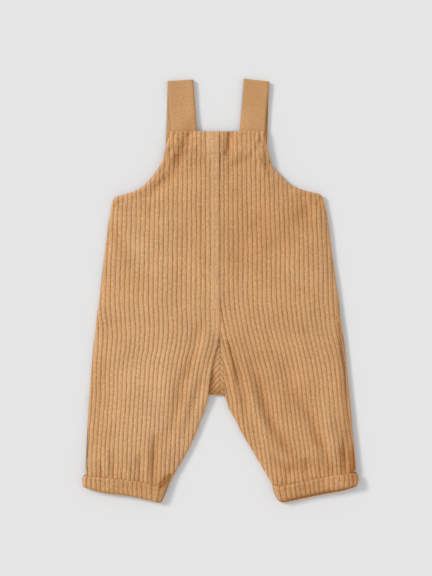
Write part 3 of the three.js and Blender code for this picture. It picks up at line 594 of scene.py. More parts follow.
def front_surface(leg, x, y):
    """The height of the front's face and, for its colour, how much of a crest each place is."""
    close = close_distance(leg, x, y)
    arm = distance_to(leg, "arm", x, y)
    top = BIB_TOP - y
    edge = np.minimum(close, np.minimum(arm, top))
    upper = smooth(y, UNDERARM - 12, UNDERARM - 4)
    above_cuff = y - cuff_top_up(leg, x)
    covered = smooth(above_cuff, -1.5, 1)
    gathered = 1 - smooth(above_cuff, 4, 26)

    # The stitched hems of the armhole and of the bib, with their puckers
    past_hem = top - hem_depth(x)
    stitched = upper * np.maximum(bell(arm - ARM_HEM, STITCH_REACH), bell(past_hem, STITCH_REACH))
    hem = upper * np.maximum(1 - smooth(arm, ARM_HEM - 1.5, ARM_HEM + 1.5), 1 - smooth(past_hem, -1, 1))
    by_arm = upper * bell(arm - ARM_HEM - 3, 8)
    by_hem = upper * bell(past_hem, 7)

    # The ribs, looser at the hems, flatter over the stitches and the pressed seam, fuller where the cuff gathers them
    loose = 0.07 + 0.13 * by_arm + 0.08 * by_hem + 0.05 * gathered
    shape = rib(wale_number(leg, x, y), x, y, loose)
    pressed = seam_band(leg, x, y)
    size = 1 + uneven("rib_size", x, y) + uneven("rib_beads", x, y) + 0.35 * gathered
    size *= (1 - 0.6 * pressed) * (1 - 0.35 * stitched) * lerp(0.55, 1, smooth(edge, 0, 3))

    # The front lies fuller away from its edges, the fork and the cuff
    wall = lerp(RIM, CLOTH + rib_rise() * shape * size * covered, rounded(edge, EDGE_ROUND))
    z = front_under(leg, x, y, close) + wall + seam_relief(leg, x, y)
    full = (1 - np.exp(-np.minimum(close, 0.6 * edge + 8) / PUFF_REACH)) * smooth(edge, 0, 10)
    if leg == "left":
        full *= 1 - 0.75 * (1 - smooth(distance_to(leg, "inseam", x, y), 0, 26))
    beside_fork = 1 - smooth(SIGN[leg] * x - inner_across(leg, y), 0, 20)
    full *= 1 - band(y, CROTCH, FORK_TOP, BELOW_FORK, 26) * beside_fork
    z += PUFF * full * lerp(0.25, 1, smooth(above_cuff, 0, 34)) * covered

    # Hems, puckers, creases and swells
    z += HEM_RISE * hem * smooth(edge, 0, 2) - STITCH_SINK * stitched
    z += by_arm * uneven("armhole_puckers", x, y) * smooth(edge, 0, 5)
    z += by_hem * uneven("hem_puckers", x, y)
    for low, high in STRAP_ZONES:
        sewn = band(x, low + 4, high - 4, 8, 8) * smooth(y, STRAP_END - 16, STRAP_END)
        z += sewn * uneven("strap_puckers", x, y) * smooth(edge, 0, 3)
    z -= creased(x, y) * smooth(edge, 0, 4) * covered
    z += (uneven("swell", x, y) + uneven("ripple", x, y)) * smooth(edge, 2, 14) * covered
    z += uneven("gathers", x, y) * gathered * covered * smooth(edge, 0, 4)
    z = np.maximum(z, back_over(leg, x, y) + OVER_BACK + OVER_FORK * over_fork(leg, x, y))
    by_seam = 0.4 * (1 - smooth(np.abs(x - seam_across(y)), 0.6, 1.6)) * smooth(y, SEAM_START, SEAM_START + 30)
    crest = np.maximum(lerp(shape, 0.6 + 0.4 * shape, pressed), by_seam)
    # Along the stitched lines the crest is lowered, which paints shade into their grooves
    return z, crest - 0.6 * stitched * np.clip(uneven("stitch_groove_shade", x, y) + 0.25, 0, 1)


def seam_band(leg, x, y):
    """1 on the band left of the centre seam, where the allowance underneath presses the ribs flat."""
    if leg == "right":
        return np.zeros(np.shape(x))
    away = np.abs(x - seam_across(y))
    wide = SEAM_BAND + 5 * smooth(y, BIB_TOP - 44, BIB_TOP - 14)
    return (1 - smooth(away, wide - 2.4, wide + 1.6)) * smooth(y, SEAM_START - 20, SEAM_START + 6)


def seam_relief(leg, x, y):
    """The dip along the centre seam and the raised, topstitched band to its left."""
    away = np.abs(x - seam_across(y))
    on = smooth(y, SEAM_START - 8, SEAM_START)
    dip = SEAM_DIP * (1 - rounded(away, 2))
    if leg == "right":
        return -dip * on
    groove = bell(away - TOPSTITCH, TOPSTITCH_REACH)
    rise = SEAM_BAND_RISE + uneven("seam_band", x, y)
    return (seam_band(leg, x, y) * rise - TOPSTITCH_SINK * groove - dip) * on


# Meshes


def grid_faces(rows, columns, start, flipped):
    i, j = np.meshgrid(np.arange(rows - 1), np.arange(columns - 1), indexing="ij")
    a = (start + i * columns + j).ravel()
    quads = np.stack([a, a + 1, a + columns + 1, a + columns], 1)
    return quads[:, ::-1] if flipped else quads


def link(name, data):
    made = bpy.data.objects.new(name, data)
    bpy.context.scene.collection.objects.link(made)
    return made


def mesh_object(name, points, faces, cloth, material):
    """One object from points and cloth coordinates in millimetres."""
    mesh = bpy.data.meshes.new(name)
    mesh.from_pydata(place(points), [], faces)
    corners = np.array([i for face in faces for i in face])
    layer = mesh.uv_layers.new(name="cloth")
    layer.uv.foreach_set("vector", (np.asarray(cloth)[corners] * MM).astype("f").ravel())
    mesh.shade_smooth()
    mesh.materials.append(cloth_material(material))
    return link(name, mesh)


def cloth_object(name, grids, material, painted_patches=PAINTED_LIGHT_AND_SHADE):
    """One object from grids of (points, crest, cloth coordinates, flipped), with painted light and shade from a table
    of patches.
    """
    points, faces, crests, painted_shading, cloth, start = [], [], [], [], [], 0
    for grid, crest, coordinates, flipped in grids:
        rows, columns = grid.shape[:2]
        points.append(grid.reshape(-1, 3))
        crests.append(np.broadcast_to(crest, (rows, columns)).ravel())
        painted_shading.append(painted_light_and_shade_of(grid[..., 0], grid[..., 1], painted_patches).ravel())
        cloth.append(coordinates.reshape(-1, 2))
        faces.append(grid_faces(rows, columns, start, flipped))
        start += rows * columns
    piece = mesh_object(name, *map(np.concatenate, (points, faces, cloth)), material)
    # The tone attribute carries the painted light and shade into the colour
    for key, values in (("crest", crests), ("tone", painted_shading)):
        given = piece.data.attributes.new(key, "FLOAT", "POINT")
        given.data.foreach_set("value", np.concatenate(values).astype("f"))
    return piece


def dress(piece, slot, *nodes):
    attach(piece, "root")
    if nodes:
        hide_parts(*nodes)


RIB_PHASES = (0, 0.055, 0.12, 0.22, 0.5, 0.78, 0.88, 0.945)
JOIN = -0.001  # the last line past the middle, which meets line 0 of the other grid


def rib_lines(first, last, end):
    """The numbers of the grid lines that cover some ribs, with whole numbers in the grooves."""
    return np.array([whole + part for whole in range(first, last) for part in RIB_PHASES] + [end])


RIB_LINES = rib_lines(0, 30, 30)
LINES_PAST_MIDDLE = rib_lines(-6, 0, JOIN)
# Where each piece starts across the cloth that its fibres are drawn on, so that no two look alike
SWATCH = {"left": 0, "right": 400, "fork": 800, "cuff_front": 1200, "cuff_back": 1400, "strap": 1600, "seam": 1900}
STRAP_SIDES_APART = 60
HALVINGS = 14  # of the step to the edge of the cloth
INNER_TURN = 0.35
EDGE_STEPS = np.array((0, 0.25, 0.7, 1.4, 2.4, 3.8, 5.6))
FRONT_ROWS = 190
BACK_ROWS = 90
SKIRT = 6  # how far the turned edge runs back underneath


def inside(leg, x, y, back):
    """Above zero inside a panel's outline."""
    half = SIGN[leg] * x
    inner = inner_across(leg, y)
    if back:
        inner = np.where(y < CROTCH_FOLD, inner, SIGN[leg] * seam_across(y) + HALF_GAP)
    hem = y - hem_up(leg, x) - HEM_INSET - HEM_PEEK[leg]
    top = (BACK_BIB_TOP if back else BIB_TOP) - y
    return np.minimum.reduce([outer_across(leg, y) - half, half - inner, hem, top])


def clip_lines(leg, numbers, back):
    """The lowest and highest point of each rib line inside a panel. Lines that miss it are dropped."""
    step = 0.5
    up = np.arange(0, BIB_TOP + 1, step)
    holds = lambda n, y: inside(leg, line_across(leg, n, y), y, back) > 0
    within = holds(*np.meshgrid(numbers, up, indexing="ij"))
    spans = []
    for row in within:
        steps = np.flatnonzero(np.diff(np.concatenate([[0], row.astype(int), [0]])))
        runs = steps.reshape(-1, 2)
        spans.append(runs[np.argmax(runs[:, 1] - runs[:, 0])] if len(runs) else (0, 0))
    spans = np.array(spans)
    kept = spans[:, 1] - spans[:, 0] > 3
    numbers, spans = numbers[kept], spans[kept]
    ends = []
    for inner, outwards in ((up[spans[:, 0]], -step), (up[spans[:, 1] - 1], step)):
        outer = inner + outwards
        for _ in range(HALVINGS):
            middle = (inner + outer) / 2
            ok = holds(numbers, middle)
            inner, outer = np.where(ok, middle, inner), np.where(ok, outer, middle)
        ends.append(inner)
    low, high = ends
    if numbers[-1] == JOIN:
        high[-1] = high[-2]  # this line lies on line 0 of the next grid, and would run on along it
    return numbers, low, high


def line_across(leg, number, y):
    """Where a rib line runs. Line 0 follows the inner edge where its own groove would leave the cloth."""
    sign = SIGN[leg]
    x = column(WALES, leg + "_start", y) + sign * column(WALES, leg + "_pitch", y) * number
    edge = sign * (inner_across(leg, y) + 0.02)
    return np.where((number == 0) & (y > CROTCH) & (sign * x < sign * edge), edge, x)


def with_ends(ends, rows):
    """Rows with the first and the last value of others before and after them, twice each."""
    return np.concatenate([ends[:, :1], ends[:, :1], rows, ends[:, -1:], ends[:, -1:]], 1)


def panel_grid(leg, numbers, count, surface, lip):
    """A grid over a panel, one row to a rib line, with its edges turned in. lip gives the height of the turned edge."""
    numbers, low, high = clip_lines(leg, numbers, lip is back_lip)
    length = (high - low)[:, None]
    ends = EDGE_STEPS[None, :] * np.minimum(1, length / 16)
    middle = np.linspace(0, 1, count)[None, 1:-1]
    first, last = low[:, None] + ends, high[:, None] - ends[:, ::-1]
    y = np.concatenate([first, lerp(first[:, -1:], last[:, :1], middle), last], 1)
    n = np.broadcast_to(numbers[:, None], y.shape)
    x = line_across(leg, n, y)
    z, crest = surface(leg, x, y)
    turned = lip(leg, x, y)
    tuck = np.minimum(SKIRT, length / 2.2)
    y = np.concatenate([y[:, :1] + tuck, y[:, :1], y, y[:, -1:], y[:, -1:] - tuck], 1)
    z, crest = with_ends(turned, z), with_ends(crest * 0, crest)
    n = np.broadcast_to(numbers[:, None], y.shape)
    x = line_across(leg, n, y)
    if numbers[0] == 0:  # the inner edge is turned under
        beside = SIGN[leg] * INNER_TURN
        x, y, z = (np.concatenate([a[:1] + b, a]) for a, b in ((x, beside), (y, 0), (z, 0)))
        z[0] = with_ends(turned, turned)[0]
        n, crest = np.concatenate([n[:1], n]), np.concatenate([crest[:1], crest])
    cloth = np.stack([n * RIB_PITCH + SWATCH[leg], y], 2)
    away_from_seam = smooth(np.abs(x - seam_across(y)), 0.5, 2.5)
    y = y + 0.45 * (crest - 0.5) * smooth(y, BIB_TOP - 3, BIB_TOP) * away_from_seam
    return np.stack([x, y, z], 2), crest, cloth, (leg == "right") != (lip is back_lip)


def front_lip(leg, x, y):
    return front_under(leg, x, y, close_distance(leg, x, y)) + 0.08


def seam_grid():
    """The seam itself, a narrow strip of cloth at the bottom of the dip between the two fronts."""
    up = np.linspace(SEAM_START - 13, BIB_TOP - 0.2, 240)[:, None]
    side = SEAM_STRIP * np.array((-1, 0, 1))[None, :]
    x = seam_across(up) + side
    low = [front_surface(leg, seam_across(up) + SIGN[leg] * 0.3, up)[0] for leg in SIGN]
    z = np.broadcast_to(np.minimum(*low), x.shape) + 0.2
    y = np.broadcast_to(up, x.shape)
    return np.stack([x, y, z], 2), np.full(x.shape, 0.3), np.stack([x + SWATCH["seam"], y], 2), True


def back_lip(leg, x, y):
    return back_over(leg, x, y) - 0.15


def back_surface(leg, x, y):
    """The underside of a back panel: pressed ribs that rest on the surface, with creases of its own."""
    arm = distance_to(leg, "arm", x, y)
    edge = np.minimum(np.minimum(close_distance(leg, x, y), arm), BACK_BIB_TOP - y)
    seam = np.abs(x - seam_across(y))
    shape = rib(wale_number(leg, x, y), x, y) * smooth(seam, 0, 2)
    # The front's creases, mirrored, moved and shallower, so that the back has its own
    creases = BACK_CREASE_SHARE * creased(-0.93 * x - 6, 0.97 * y + 9)
    hollow = np.clip(creases + uneven("back", x, y), 0, BACK_HOLLOW)
    stitched = bell(arm - ARM_HEM, STITCH_REACH) + bell(BACK_BIB_TOP - y - BIB_HEM, STITCH_REACH)
    z = back_under(leg, x, y) + PRESSED_RIB * (1 - shape) + hollow + BACK_STITCH_SINK * stitched
    return lerp(back_lip(leg, x, y) - 0.2, z, rounded(edge, EDGE_ROUND)), shape


def look():
    return bpy.context.scene.dungarees_look


def rib_rise():
    return look().rib_rise / MM


class Look(bpy.types.PropertyGroup):
    """Sizes and colours that a user may change."""

    rib_rise: bpy.props.FloatProperty(
        name="Rib height",
        description="How far the corduroy's ribs stand above their grooves",
        default=0.0008,
        unit="LENGTH",
    )
    crest_colour: bpy.props.FloatVectorProperty(
        name="Crest colour",
        description="Colour of the pile on the ribs",
        default=(0.632, 0.366, 0.181, 1),
        size=4,
        subtype="COLOR",
    )
    groove_colour: bpy.props.FloatVectorProperty(
        name="Groove colour",
        description="Colour of the cloth down in the grooves",
        default=(0.50, 0.225, 0.066, 1),
        size=4,
        subtype="COLOR",
    )
    tape_colour: bpy.props.FloatVectorProperty(
        name="Tape colour",
        description="Colour of the woven straps",
        default=(0.67, 0.37, 0.165, 1),
        size=4,
        subtype="COLOR",
    )
    thread_colour: bpy.props.FloatVectorProperty(
        name="Thread colour",
        description="Colour of the topstitching",
        default=(0.80, 0.52, 0.29, 1),
        size=4,
        subtype="COLOR",
    )
    stitch_length: bpy.props.FloatProperty(
        name="Stitch length",
        description="Length of one topstitch",
        default=0.0028,
        unit="LENGTH",
    )
    floor_colour: bpy.props.FloatVectorProperty(
        name="Floor colour",
        description="Colour of the plain studio floor",
        default=(0.80, 0.80, 0.80, 1),
        size=4,
        subtype="COLOR",
    )


# Materials


WEAVE = 0.7  # millimetres between the tape's threads
TWIST = 0.5  # millimetres to a turn of the sewing thread
TONE_POWERS = (0.75, 1.2, 1.8)  # for red, green and blue: shadows on the pile are warmer than its lights


class Nodes:
    """Short ways to add and join the nodes of one tree."""

    def __init__(self, tree):
        self.tree = tree

    def add(self, kind, values=None, **settings):
        node = self.tree.nodes.new(kind)
        for key, value in settings.items():
            setattr(node, key, value)
        for key, value in (values or {}).items():
            self.feed(node.inputs[key], value)
        return node

    def feed(self, socket, value):
        if isinstance(value, bpy.types.NodeSocket):
            self.tree.links.new(value, socket)
        else:
            socket.default_value = value

    def math(self, operation, *values):
        return self.add("ShaderNodeMath", dict(enumerate(values)), operation=operation).outputs[0]

    def noise(self, vector, scale, detail, roughness):
        values = {"Vector": vector, "Scale": scale, "Detail": detail, "Roughness": roughness}
        return self.add("ShaderNodeTexNoise", values).outputs["Fac"]

    def stretch(self, vector, scale):
        values = {"Vector": vector, "Scale": scale}
        return self.add("ShaderNodeMapping", values, vector_type="POINT").outputs[0]

    def attribute(self, name):
        return self.add("ShaderNodeAttribute", attribute_name=name).outputs["Fac"]

    def parts(self, vector):
        return self.add("ShaderNodeSeparateXYZ", {0: vector}).outputs

    def wave(self, value, length):
        return self.math("SINE", self.math("MULTIPLY", value, math.tau / (length * MM)))

    def scale(self, vector, factor):
        return self.add("ShaderNodeVectorMath", {0: vector, "Scale": factor}, operation="SCALE").outputs[0]

    def paint_light_and_shade(self, colour, tone):
        """The colour times the painted light and shade, which turns it warmer where the painted shade makes it darker.
        """
        parts = {i: self.math("POWER", tone, power) for i, power in enumerate(TONE_POWERS)}
        values = {0: colour, 1: self.add("ShaderNodeCombineXYZ", parts).outputs[0]}
        return self.add("ShaderNodeVectorMath", values, operation="MULTIPLY").outputs[0]

    def mix(self, factor, a, b):
        return self.add("ShaderNodeMix", {0: factor, 6: a, 7: b}, data_type="RGBA").outputs[2]


def fibre_group():
    """Fine fibres, drawn out along the cloth, with a slow drift of tone: used by every cloth here."""
    name = "cloth_fibres"
    if name in bpy.data.node_groups:
        return bpy.data.node_groups[name]
    tree = bpy.data.node_groups.new(name, "ShaderNodeTree")
    face = tree.interface
    face.new_socket("Vector", in_out="INPUT", socket_type="NodeSocketVector")
    face.new_socket("Fineness", in_out="INPUT", socket_type="NodeSocketFloat").default_value = 1
    for output in ("Tone", "Height"):
        face.new_socket(output, in_out="OUTPUT", socket_type="NodeSocketFloat")
    n = Nodes(tree)
    given = n.add("NodeGroupInput")
    scaled = n.scale(given.outputs["Vector"], given.outputs["Fineness"])
    tufts = n.noise(n.stretch(scaled, (1.0, 0.45, 1.0)), 900, 3, 0.6)
    clumps = n.noise(n.stretch(scaled, (1.0, 0.7, 1.0)), 420, 3, 0.6)
    drift = n.noise(given.outputs["Vector"], 30, 2, 0.5)
    tone = n.math("ADD", n.math("MULTIPLY", tufts, 0.3), n.math("MULTIPLY", clumps, 0.5))
    tone = n.math("ADD", tone, n.math("MULTIPLY", drift, 0.2))
    height = n.math("ADD", n.math("MULTIPLY", tufts, 0.6), n.math("MULTIPLY", clumps, 0.4))
    n.add("NodeGroupOutput", {"Tone": tone, "Height": height})
    return tree


def fibres(n, vector, fineness):
    group = n.add("ShaderNodeGroup", {"Vector": vector, "Fineness": fineness}, node_tree=fibre_group())
    return group.outputs["Tone"], group.outputs["Height"]


def shade_by_tone(n, colour, tone, dark, light):
    """The colour, darker and lighter by tone."""
    values = {"Value": tone, "From Min": 0.3, "From Max": 0.7, "To Min": dark, "To Max": light}
    return n.scale(colour, n.add("ShaderNodeMapRange", values).outputs[0])


def corduroy(n, cloth, tone, height):
    """Ribbed pile: crests lighter than grooves, uneven fibres, and painted light and shade from the tone attribute."""
    # The crest attribute also holds painted shade along the stitched lines and on the cuffs' peeking backs
    pile_and_painted_shade = n.math("ADD", n.attribute("crest"), n.math("MULTIPLY", n.math("SUBTRACT", tone, 0.5), 0.8))
    values = {"Value": pile_and_painted_shade, "From Min": 0.1, "From Max": 0.95}
    depth = n.add("ShaderNodeMapRange", values, interpolation_type="SMOOTHSTEP")
    colour = n.mix(depth.outputs[0], tuple(look().groove_colour), tuple(look().crest_colour))
    return n.paint_light_and_shade(shade_by_tone(n, colour, tone, 0.7, 1.28), n.attribute("tone")), height


def tape(n, cloth, tone, height):
    """Plain woven tape with a fine weave, darker at its selvedges."""
    across, along = (n.wave(part, WEAVE) for part in n.parts(cloth)[:2])
    weave = n.math("MULTIPLY_ADD", n.math("MULTIPLY", across, along), 0.5, 0.5)
    dark = tuple(0.78 * c for c in look().tape_colour[:3]) + (1,)
    colour = n.mix(n.attribute("crest"), dark, n.mix(weave, dark, tuple(look().tape_colour)))
    # Painted light and shade from the tone attribute
    colour = n.paint_light_and_shade(shade_by_tone(n, colour, tone, 0.72, 1.3), n.attribute("tone"))
    return colour, n.math("MULTIPLY_ADD", height, 0.4, weave)


def thread(n, cloth, tone, height):
    """Twisted sewing thread."""
    colour = shade_by_tone(n, tuple(look().thread_colour)[:3], tone, 0.85, 1.1)
    return colour, n.math("ADD", n.wave(n.math("ADD", *n.parts(cloth)[:2]), TWIST), height)


PILE_FINISH = {
    "Roughness": 0.92,
    "Specular IOR Level": 0.2,
    "Sheen Weight": 0.15,
    "Sheen Roughness": 0.45,
    "Sheen Tint": (1.0, 0.82, 0.62, 1),
}
# Each cloth's material: its colour and relief, how fine its fibres are, its bump's strength and distance, its finish
CLOTHS = {
    "ribbed_pile": (corduroy, 1.0, 0.45, 0.0006, PILE_FINISH),
    "woven_tape": (tape, 1.3, 0.35, 0.0003, {"Roughness": 0.85, "Specular IOR Level": 0.25, "Sheen Weight": 0.158}),
    "sewing_thread": (thread, 2.0, 0.4, 0.0001, {"Roughness": 0.7}),
}


def new_material(name, finish):
    material = bpy.data.materials.new(name)
    material.use_nodes = True
    material.node_tree.nodes.clear()
    n = Nodes(material.node_tree)
    shader = n.add("ShaderNodeBsdfPrincipled", finish)
    n.add("ShaderNodeOutputMaterial", {"Surface": shader.outputs[0]})
    return material, n, shader


def cloth_material(name):
    """A cloth's material, made on the first call and found by its name after that."""
    if name in bpy.data.materials:
        return bpy.data.materials[name]
    kind, fineness, strength, distance, finish = CLOTHS[name]
    material, n, shader = new_material(name, finish)
    cloth = n.add("ShaderNodeUVMap", uv_map="cloth").outputs[0]
    colour, relief = kind(n, cloth, *fibres(n, cloth, fineness))
    n.feed(shader.inputs["Base Color"], colour)
    bump = n.add("ShaderNodeBump", {"Height": relief, "Strength": strength, "Distance": distance})
    n.feed(shader.inputs["Normal"], bump.outputs[0])
    return material


# Pieces


class DUNGAREES_OT_fronts(bpy.types.Operator):
    """Makes the two ribbed front panels"""

    bl_idname = "dungarees.fronts"
    bl_label = "Fronts"

    def execute(self, context):
        for leg in SIGN:
            grids = [panel_grid(leg, RIB_LINES, FRONT_ROWS, front_surface, front_lip)]
            if leg == "right":
                grids.append(panel_grid(leg, LINES_PAST_MIDDLE, FRONT_ROWS, front_surface, front_lip))
            else:
                grids.append(seam_grid())
            piece = cloth_object(f"front_{leg}_cloth", grids, "ribbed_pile")
            dress(piece, "corduroy", f"front_{leg}")
        return {"FINISHED"}


class DUNGAREES_OT_backs(bpy.types.Operator):
    """Makes the two plain back panels, which lie on the surface"""

    bl_idname = "dungarees.backs"
    bl_label = "Backs"

    def execute(self, context):
        for leg in SIGN:
            lines = RIB_LINES, LINES_PAST_MIDDLE
            grids = [panel_grid(leg, each, BACK_ROWS, back_surface, back_lip) for each in lines]
            piece = cloth_object(f"back_{leg}_cloth", grids, "ribbed_pile")
            dress(piece, "corduroy", f"back_{leg}")
        return {"FINISHED"}


def fork_grid(leg):
    """One half of the fork: slanting ribs that meet at the seam."""
    sign = SIGN[leg]
    share = np.linspace(0, 1, 46)[:, None]
    up = np.concatenate([[0, 0.3, 0.9, 2, 3.6], np.linspace(5.2, FORK_TOP - CROTCH_FOLD, 120)])[None, :] + CROTCH_FOLD
    inner = sign * seam_across(up) + HALF_GAP
    outer = inner_across(leg, up) + FORK_TUCK
    x = sign * lerp(inner, np.maximum(outer, inner + 0.4), share)
    y = np.broadcast_to(up, x.shape)
    number = (FORK_TOP - y) / FORK_SPACING - (sign * x - inner) / (FORK_SLANT * FORK_SPACING)
    crest = rib(number, x, y)
    turned = rounded(y - CROTCH_FOLD, 7)
    low = back_over(leg, x, y) + SEAM_GAP
    seam = 0.45 * (1 - rounded(sign * x - inner, 2.2))
    z = low + lerp(0.9, 1.2, turned) + 0.75 * rib_rise() * crest * turned - seam + 0.8 * smooth(y, 146, 176)
    z += uneven("fork", x, y) * turned
    x = np.concatenate([x[:, :1], x], 1)
    y = np.concatenate([y[:, :1], y], 1)
    z = np.concatenate([low[:, :1], z], 1)
    crest = np.concatenate([crest[:, :1] * 0, crest], 1)
    return np.stack([x, y, z], 2), crest, np.stack([x + SWATCH["fork"], y], 2), leg == "right"


class DUNGAREES_OT_forks(bpy.types.Operator):
    """Makes the two halves of the fork between the legs"""

    bl_idname = "dungarees.forks"
    bl_label = "Fork"

    def execute(self, context):
        for leg in SIGN:
            piece = cloth_object(f"fork_{leg}_cloth", [fork_grid(leg)], "ribbed_pile", FORK_PAINTED_SHADOW)
            dress(piece, "corduroy", f"fork_{leg}")
        return {"FINISHED"}


def cuff_shares(leg):
    """The shares of a cuff's width at its grid lines, that width, and its number of ribs."""
    rows = CUFFS[leg]
    width = abs(rows["hem_across"][0] - rows["hem_across"][-1])
    ribs = round(width / 5.5)
    share = np.array([(w + p) / ribs for w in range(ribs) for p in RIB_PHASES] + [1.0])
    return np.unique(np.concatenate([share, EDGE_STEPS / width, 1 - EDGE_STEPS / width]))[:, None], width, ribs


def on_cuff(leg, share, row, hem):
    """Where a place on a cuff lies, row millimetres above its hem."""
    at, t = lambda key: column(CUFFS[leg], key, share, "share"), row / CUFF_DEPTH
    x, y = lerp(at("hem_across"), at("top_across"), t), lerp(at(hem), at("top_up"), t)
    outer, inner = CUFF_BULGE[leg]
    away = np.abs(share - 0.5) ** 3 * 8 * np.where(share < 0.5, outer, -inner)
    x = x + SIGN[leg] * np.sin(np.pi * np.clip(t, 0, 1)) * away
    return x, y


def cuff_front_grid(leg):
    """The front of a turned-up cuff, round at the hem and the sides, with its upper edge standing off the leg."""
    share, width, ribs = cuff_shares(leg)
    row = np.concatenate([EDGE_STEPS, np.linspace(7, CUFF_DEPTH - 3, 14), CUFF_DEPTH - EDGE_STEPS[4::-1]])[None, :]
    share, row = np.broadcast_arrays(share, row)
    t = row / CUFF_DEPTH
    x, y = on_cuff(leg, share, row, "front_up")
    y = y + uneven("cuff_hem", x, y * 0) * (1 - t) + uneven("cuff_mouth", x, y * 0) * t
    inset = np.minimum(row, np.minimum(share, 1 - share) * width)
    crest = rib(share * ribs, x, y, 0.09)
    size = 0.95 + uneven("cuff_ribs", x, y)
    full = LEG_TOP + SEAM_GAP + CLOTH + rib_rise() * crest * size + CUFF_FULL
    full = full + uneven("cuff_swell", x, y) + uneven("cuff_ripple", x, y)
    full = full + CUFF_EDGE_RISE * bell(CUFF_DEPTH - row - 1.5, 2) - CUFF_CREASE_SHARE * creased(x, y) * t
    if leg == "left":
        full = full - CUFF_SINK * smooth(share, 0.9, 1)
    reach = np.minimum(inset, CUFF_DEPTH - row + 0.9)
    z = lerp(MOUTH + 0.4, np.maximum(full, LEG_TOP + 0.6), rounded(reach, CUFF_ROUND))
    top_skirt = [x[:, -1:], y[:, -1:] - 0.2, np.full_like(x[:, -1:], LEG_TOP + 0.1)]
    low_skirt = [x[:, :1], y[:, :1] + 2.5, np.full_like(x[:, :1], MOUTH + 0.2)]
    x, y, z = (np.concatenate([a, b, c], 1) for a, b, c in zip(low_skirt, (x, y, z), top_skirt))
    crest = np.concatenate([crest[:, :1] * 0, crest, crest[:, -1:] * 0], 1)
    cloth = np.stack([np.broadcast_to(share[:, :1] * width + SWATCH["cuff_front"], x.shape), y], 2)
    return np.stack([x, y, z], 2), crest, cloth, leg == "right"


def cuff_back_grid(leg):
    """The back of a cuff, from its lip under the front's hem, round the hem and along the surface to its upper edge."""
    share, width, ribs = cuff_shares(leg)
    lip = 5.5 - np.array((0, 2, 3.6, 4.7, 5.3))
    row = np.concatenate([lip, [0, 0, 0.3, 1, 2.2, 4.2], np.linspace(6, CUFF_DEPTH, 8)])[None, :]
    lift = np.array([3.9, 3.9, 3.9, 3.8, 3.6, 3.2, 2.2, 1.2, 0.5, 0.15] + [0] * 9)[None, :]
    share, row, lift = np.broadcast_arrays(share, row, lift)
    x, y = on_cuff(leg, share, row, "hem_up")
    side = np.minimum(share, 1 - share) * width
    shape = rib(share * ribs, x, y, 0.05)
    pressed = smooth(row, 2, 5) * (lift < 1)
    over = lift > 2
    z = np.where(over, lift - 0.15 * (1 - shape), np.maximum(lift, (MOUTH - 0.4) * (1 - rounded(side, 3.4))))
    z = z + 0.4 * (1 - shape) * pressed * smooth(side, 0, 3)
    run = np.cumsum(np.abs(np.diff(row, axis=1, prepend=row[:, :1])), 1)
    cloth = np.stack([share * width + SWATCH["cuff_back"], run], 2)
    # The band of the back that peeks under the front's hem gets a lower crest: painted shade from the front cuff above
    # it
    return np.stack([x, y, z], 2), np.where(over, 0.55 * shape, shape), cloth, leg == "left"


class DUNGAREES_OT_cuffs(bpy.types.Operator):
    """Makes the fronts and the backs of the turned-up cuffs"""

    bl_idname = "dungarees.cuffs"
    bl_label = "Cuffs"

    def execute(self, context):
        for leg in SIGN:
            back = cloth_object(f"cuff_{leg}_back_cloth", [cuff_back_grid(leg)], "ribbed_pile")
            dress(back, "corduroy", f"cuff_{leg}_back")
            front = cloth_object(f"cuff_{leg}_front_cloth", [cuff_front_grid(leg)], "ribbed_pile")
            dress(front, "corduroy", f"cuff_{leg}_front")
        return {"FINISHED"}


def strap_path(leg):
    """The strap's centre line from the end inside the bib over the shoulder fold to the other end, as in the frame."""
    s = STRAPS[leg]
    half = STRAP_CLOTH / 2
    front_rest = BACK_CLOTH + 2 * SEAM_GAP + STRAP_CLOTH + half
    back_rest = BACK_CLOTH + SEAM_GAP + half
    radius = (STRAP_TOP_HEIGHT - half) / 2
    fold = s["top"] - radius - half
    slide = lambda low, up: lerp(low, s["fold_across"], (up - STRAP_END) / (fold - STRAP_END))
    front = [(STRAP_END, front_rest), (436, front_rest), (BIB_TOP + 2, front_rest)]
    front += [(462, front_rest - SEAM_GAP), (480, STRAP_TOP_HEIGHT)]
    back = [(480, half), (462, half), (BIB_TOP, back_rest), (436, back_rest), (STRAP_END, back_rest)]
    path = [(slide(s["front_low"], up), up, z) for up, z in front]
    for angle in np.linspace(0, math.pi, 9):
        path.append((s["fold_across"], fold + radius * math.sin(angle), half + radius * (1 + math.cos(angle))))
    path += [(slide(s["back_low"], up), up, z) for up, z in back]
    return np.array(path)


def close_mesh(piece):
    """Joins the doubled points of a rolled-up grid and fills its open ends."""
    mesh = bmesh.new()
    mesh.from_mesh(piece.data)
    bmesh.ops.remove_doubles(mesh, verts=mesh.verts, dist=0.001 * MM)
    bmesh.ops.holes_fill(mesh, edges=mesh.edges)
    mesh.to_mesh(piece.data)
    mesh.free()


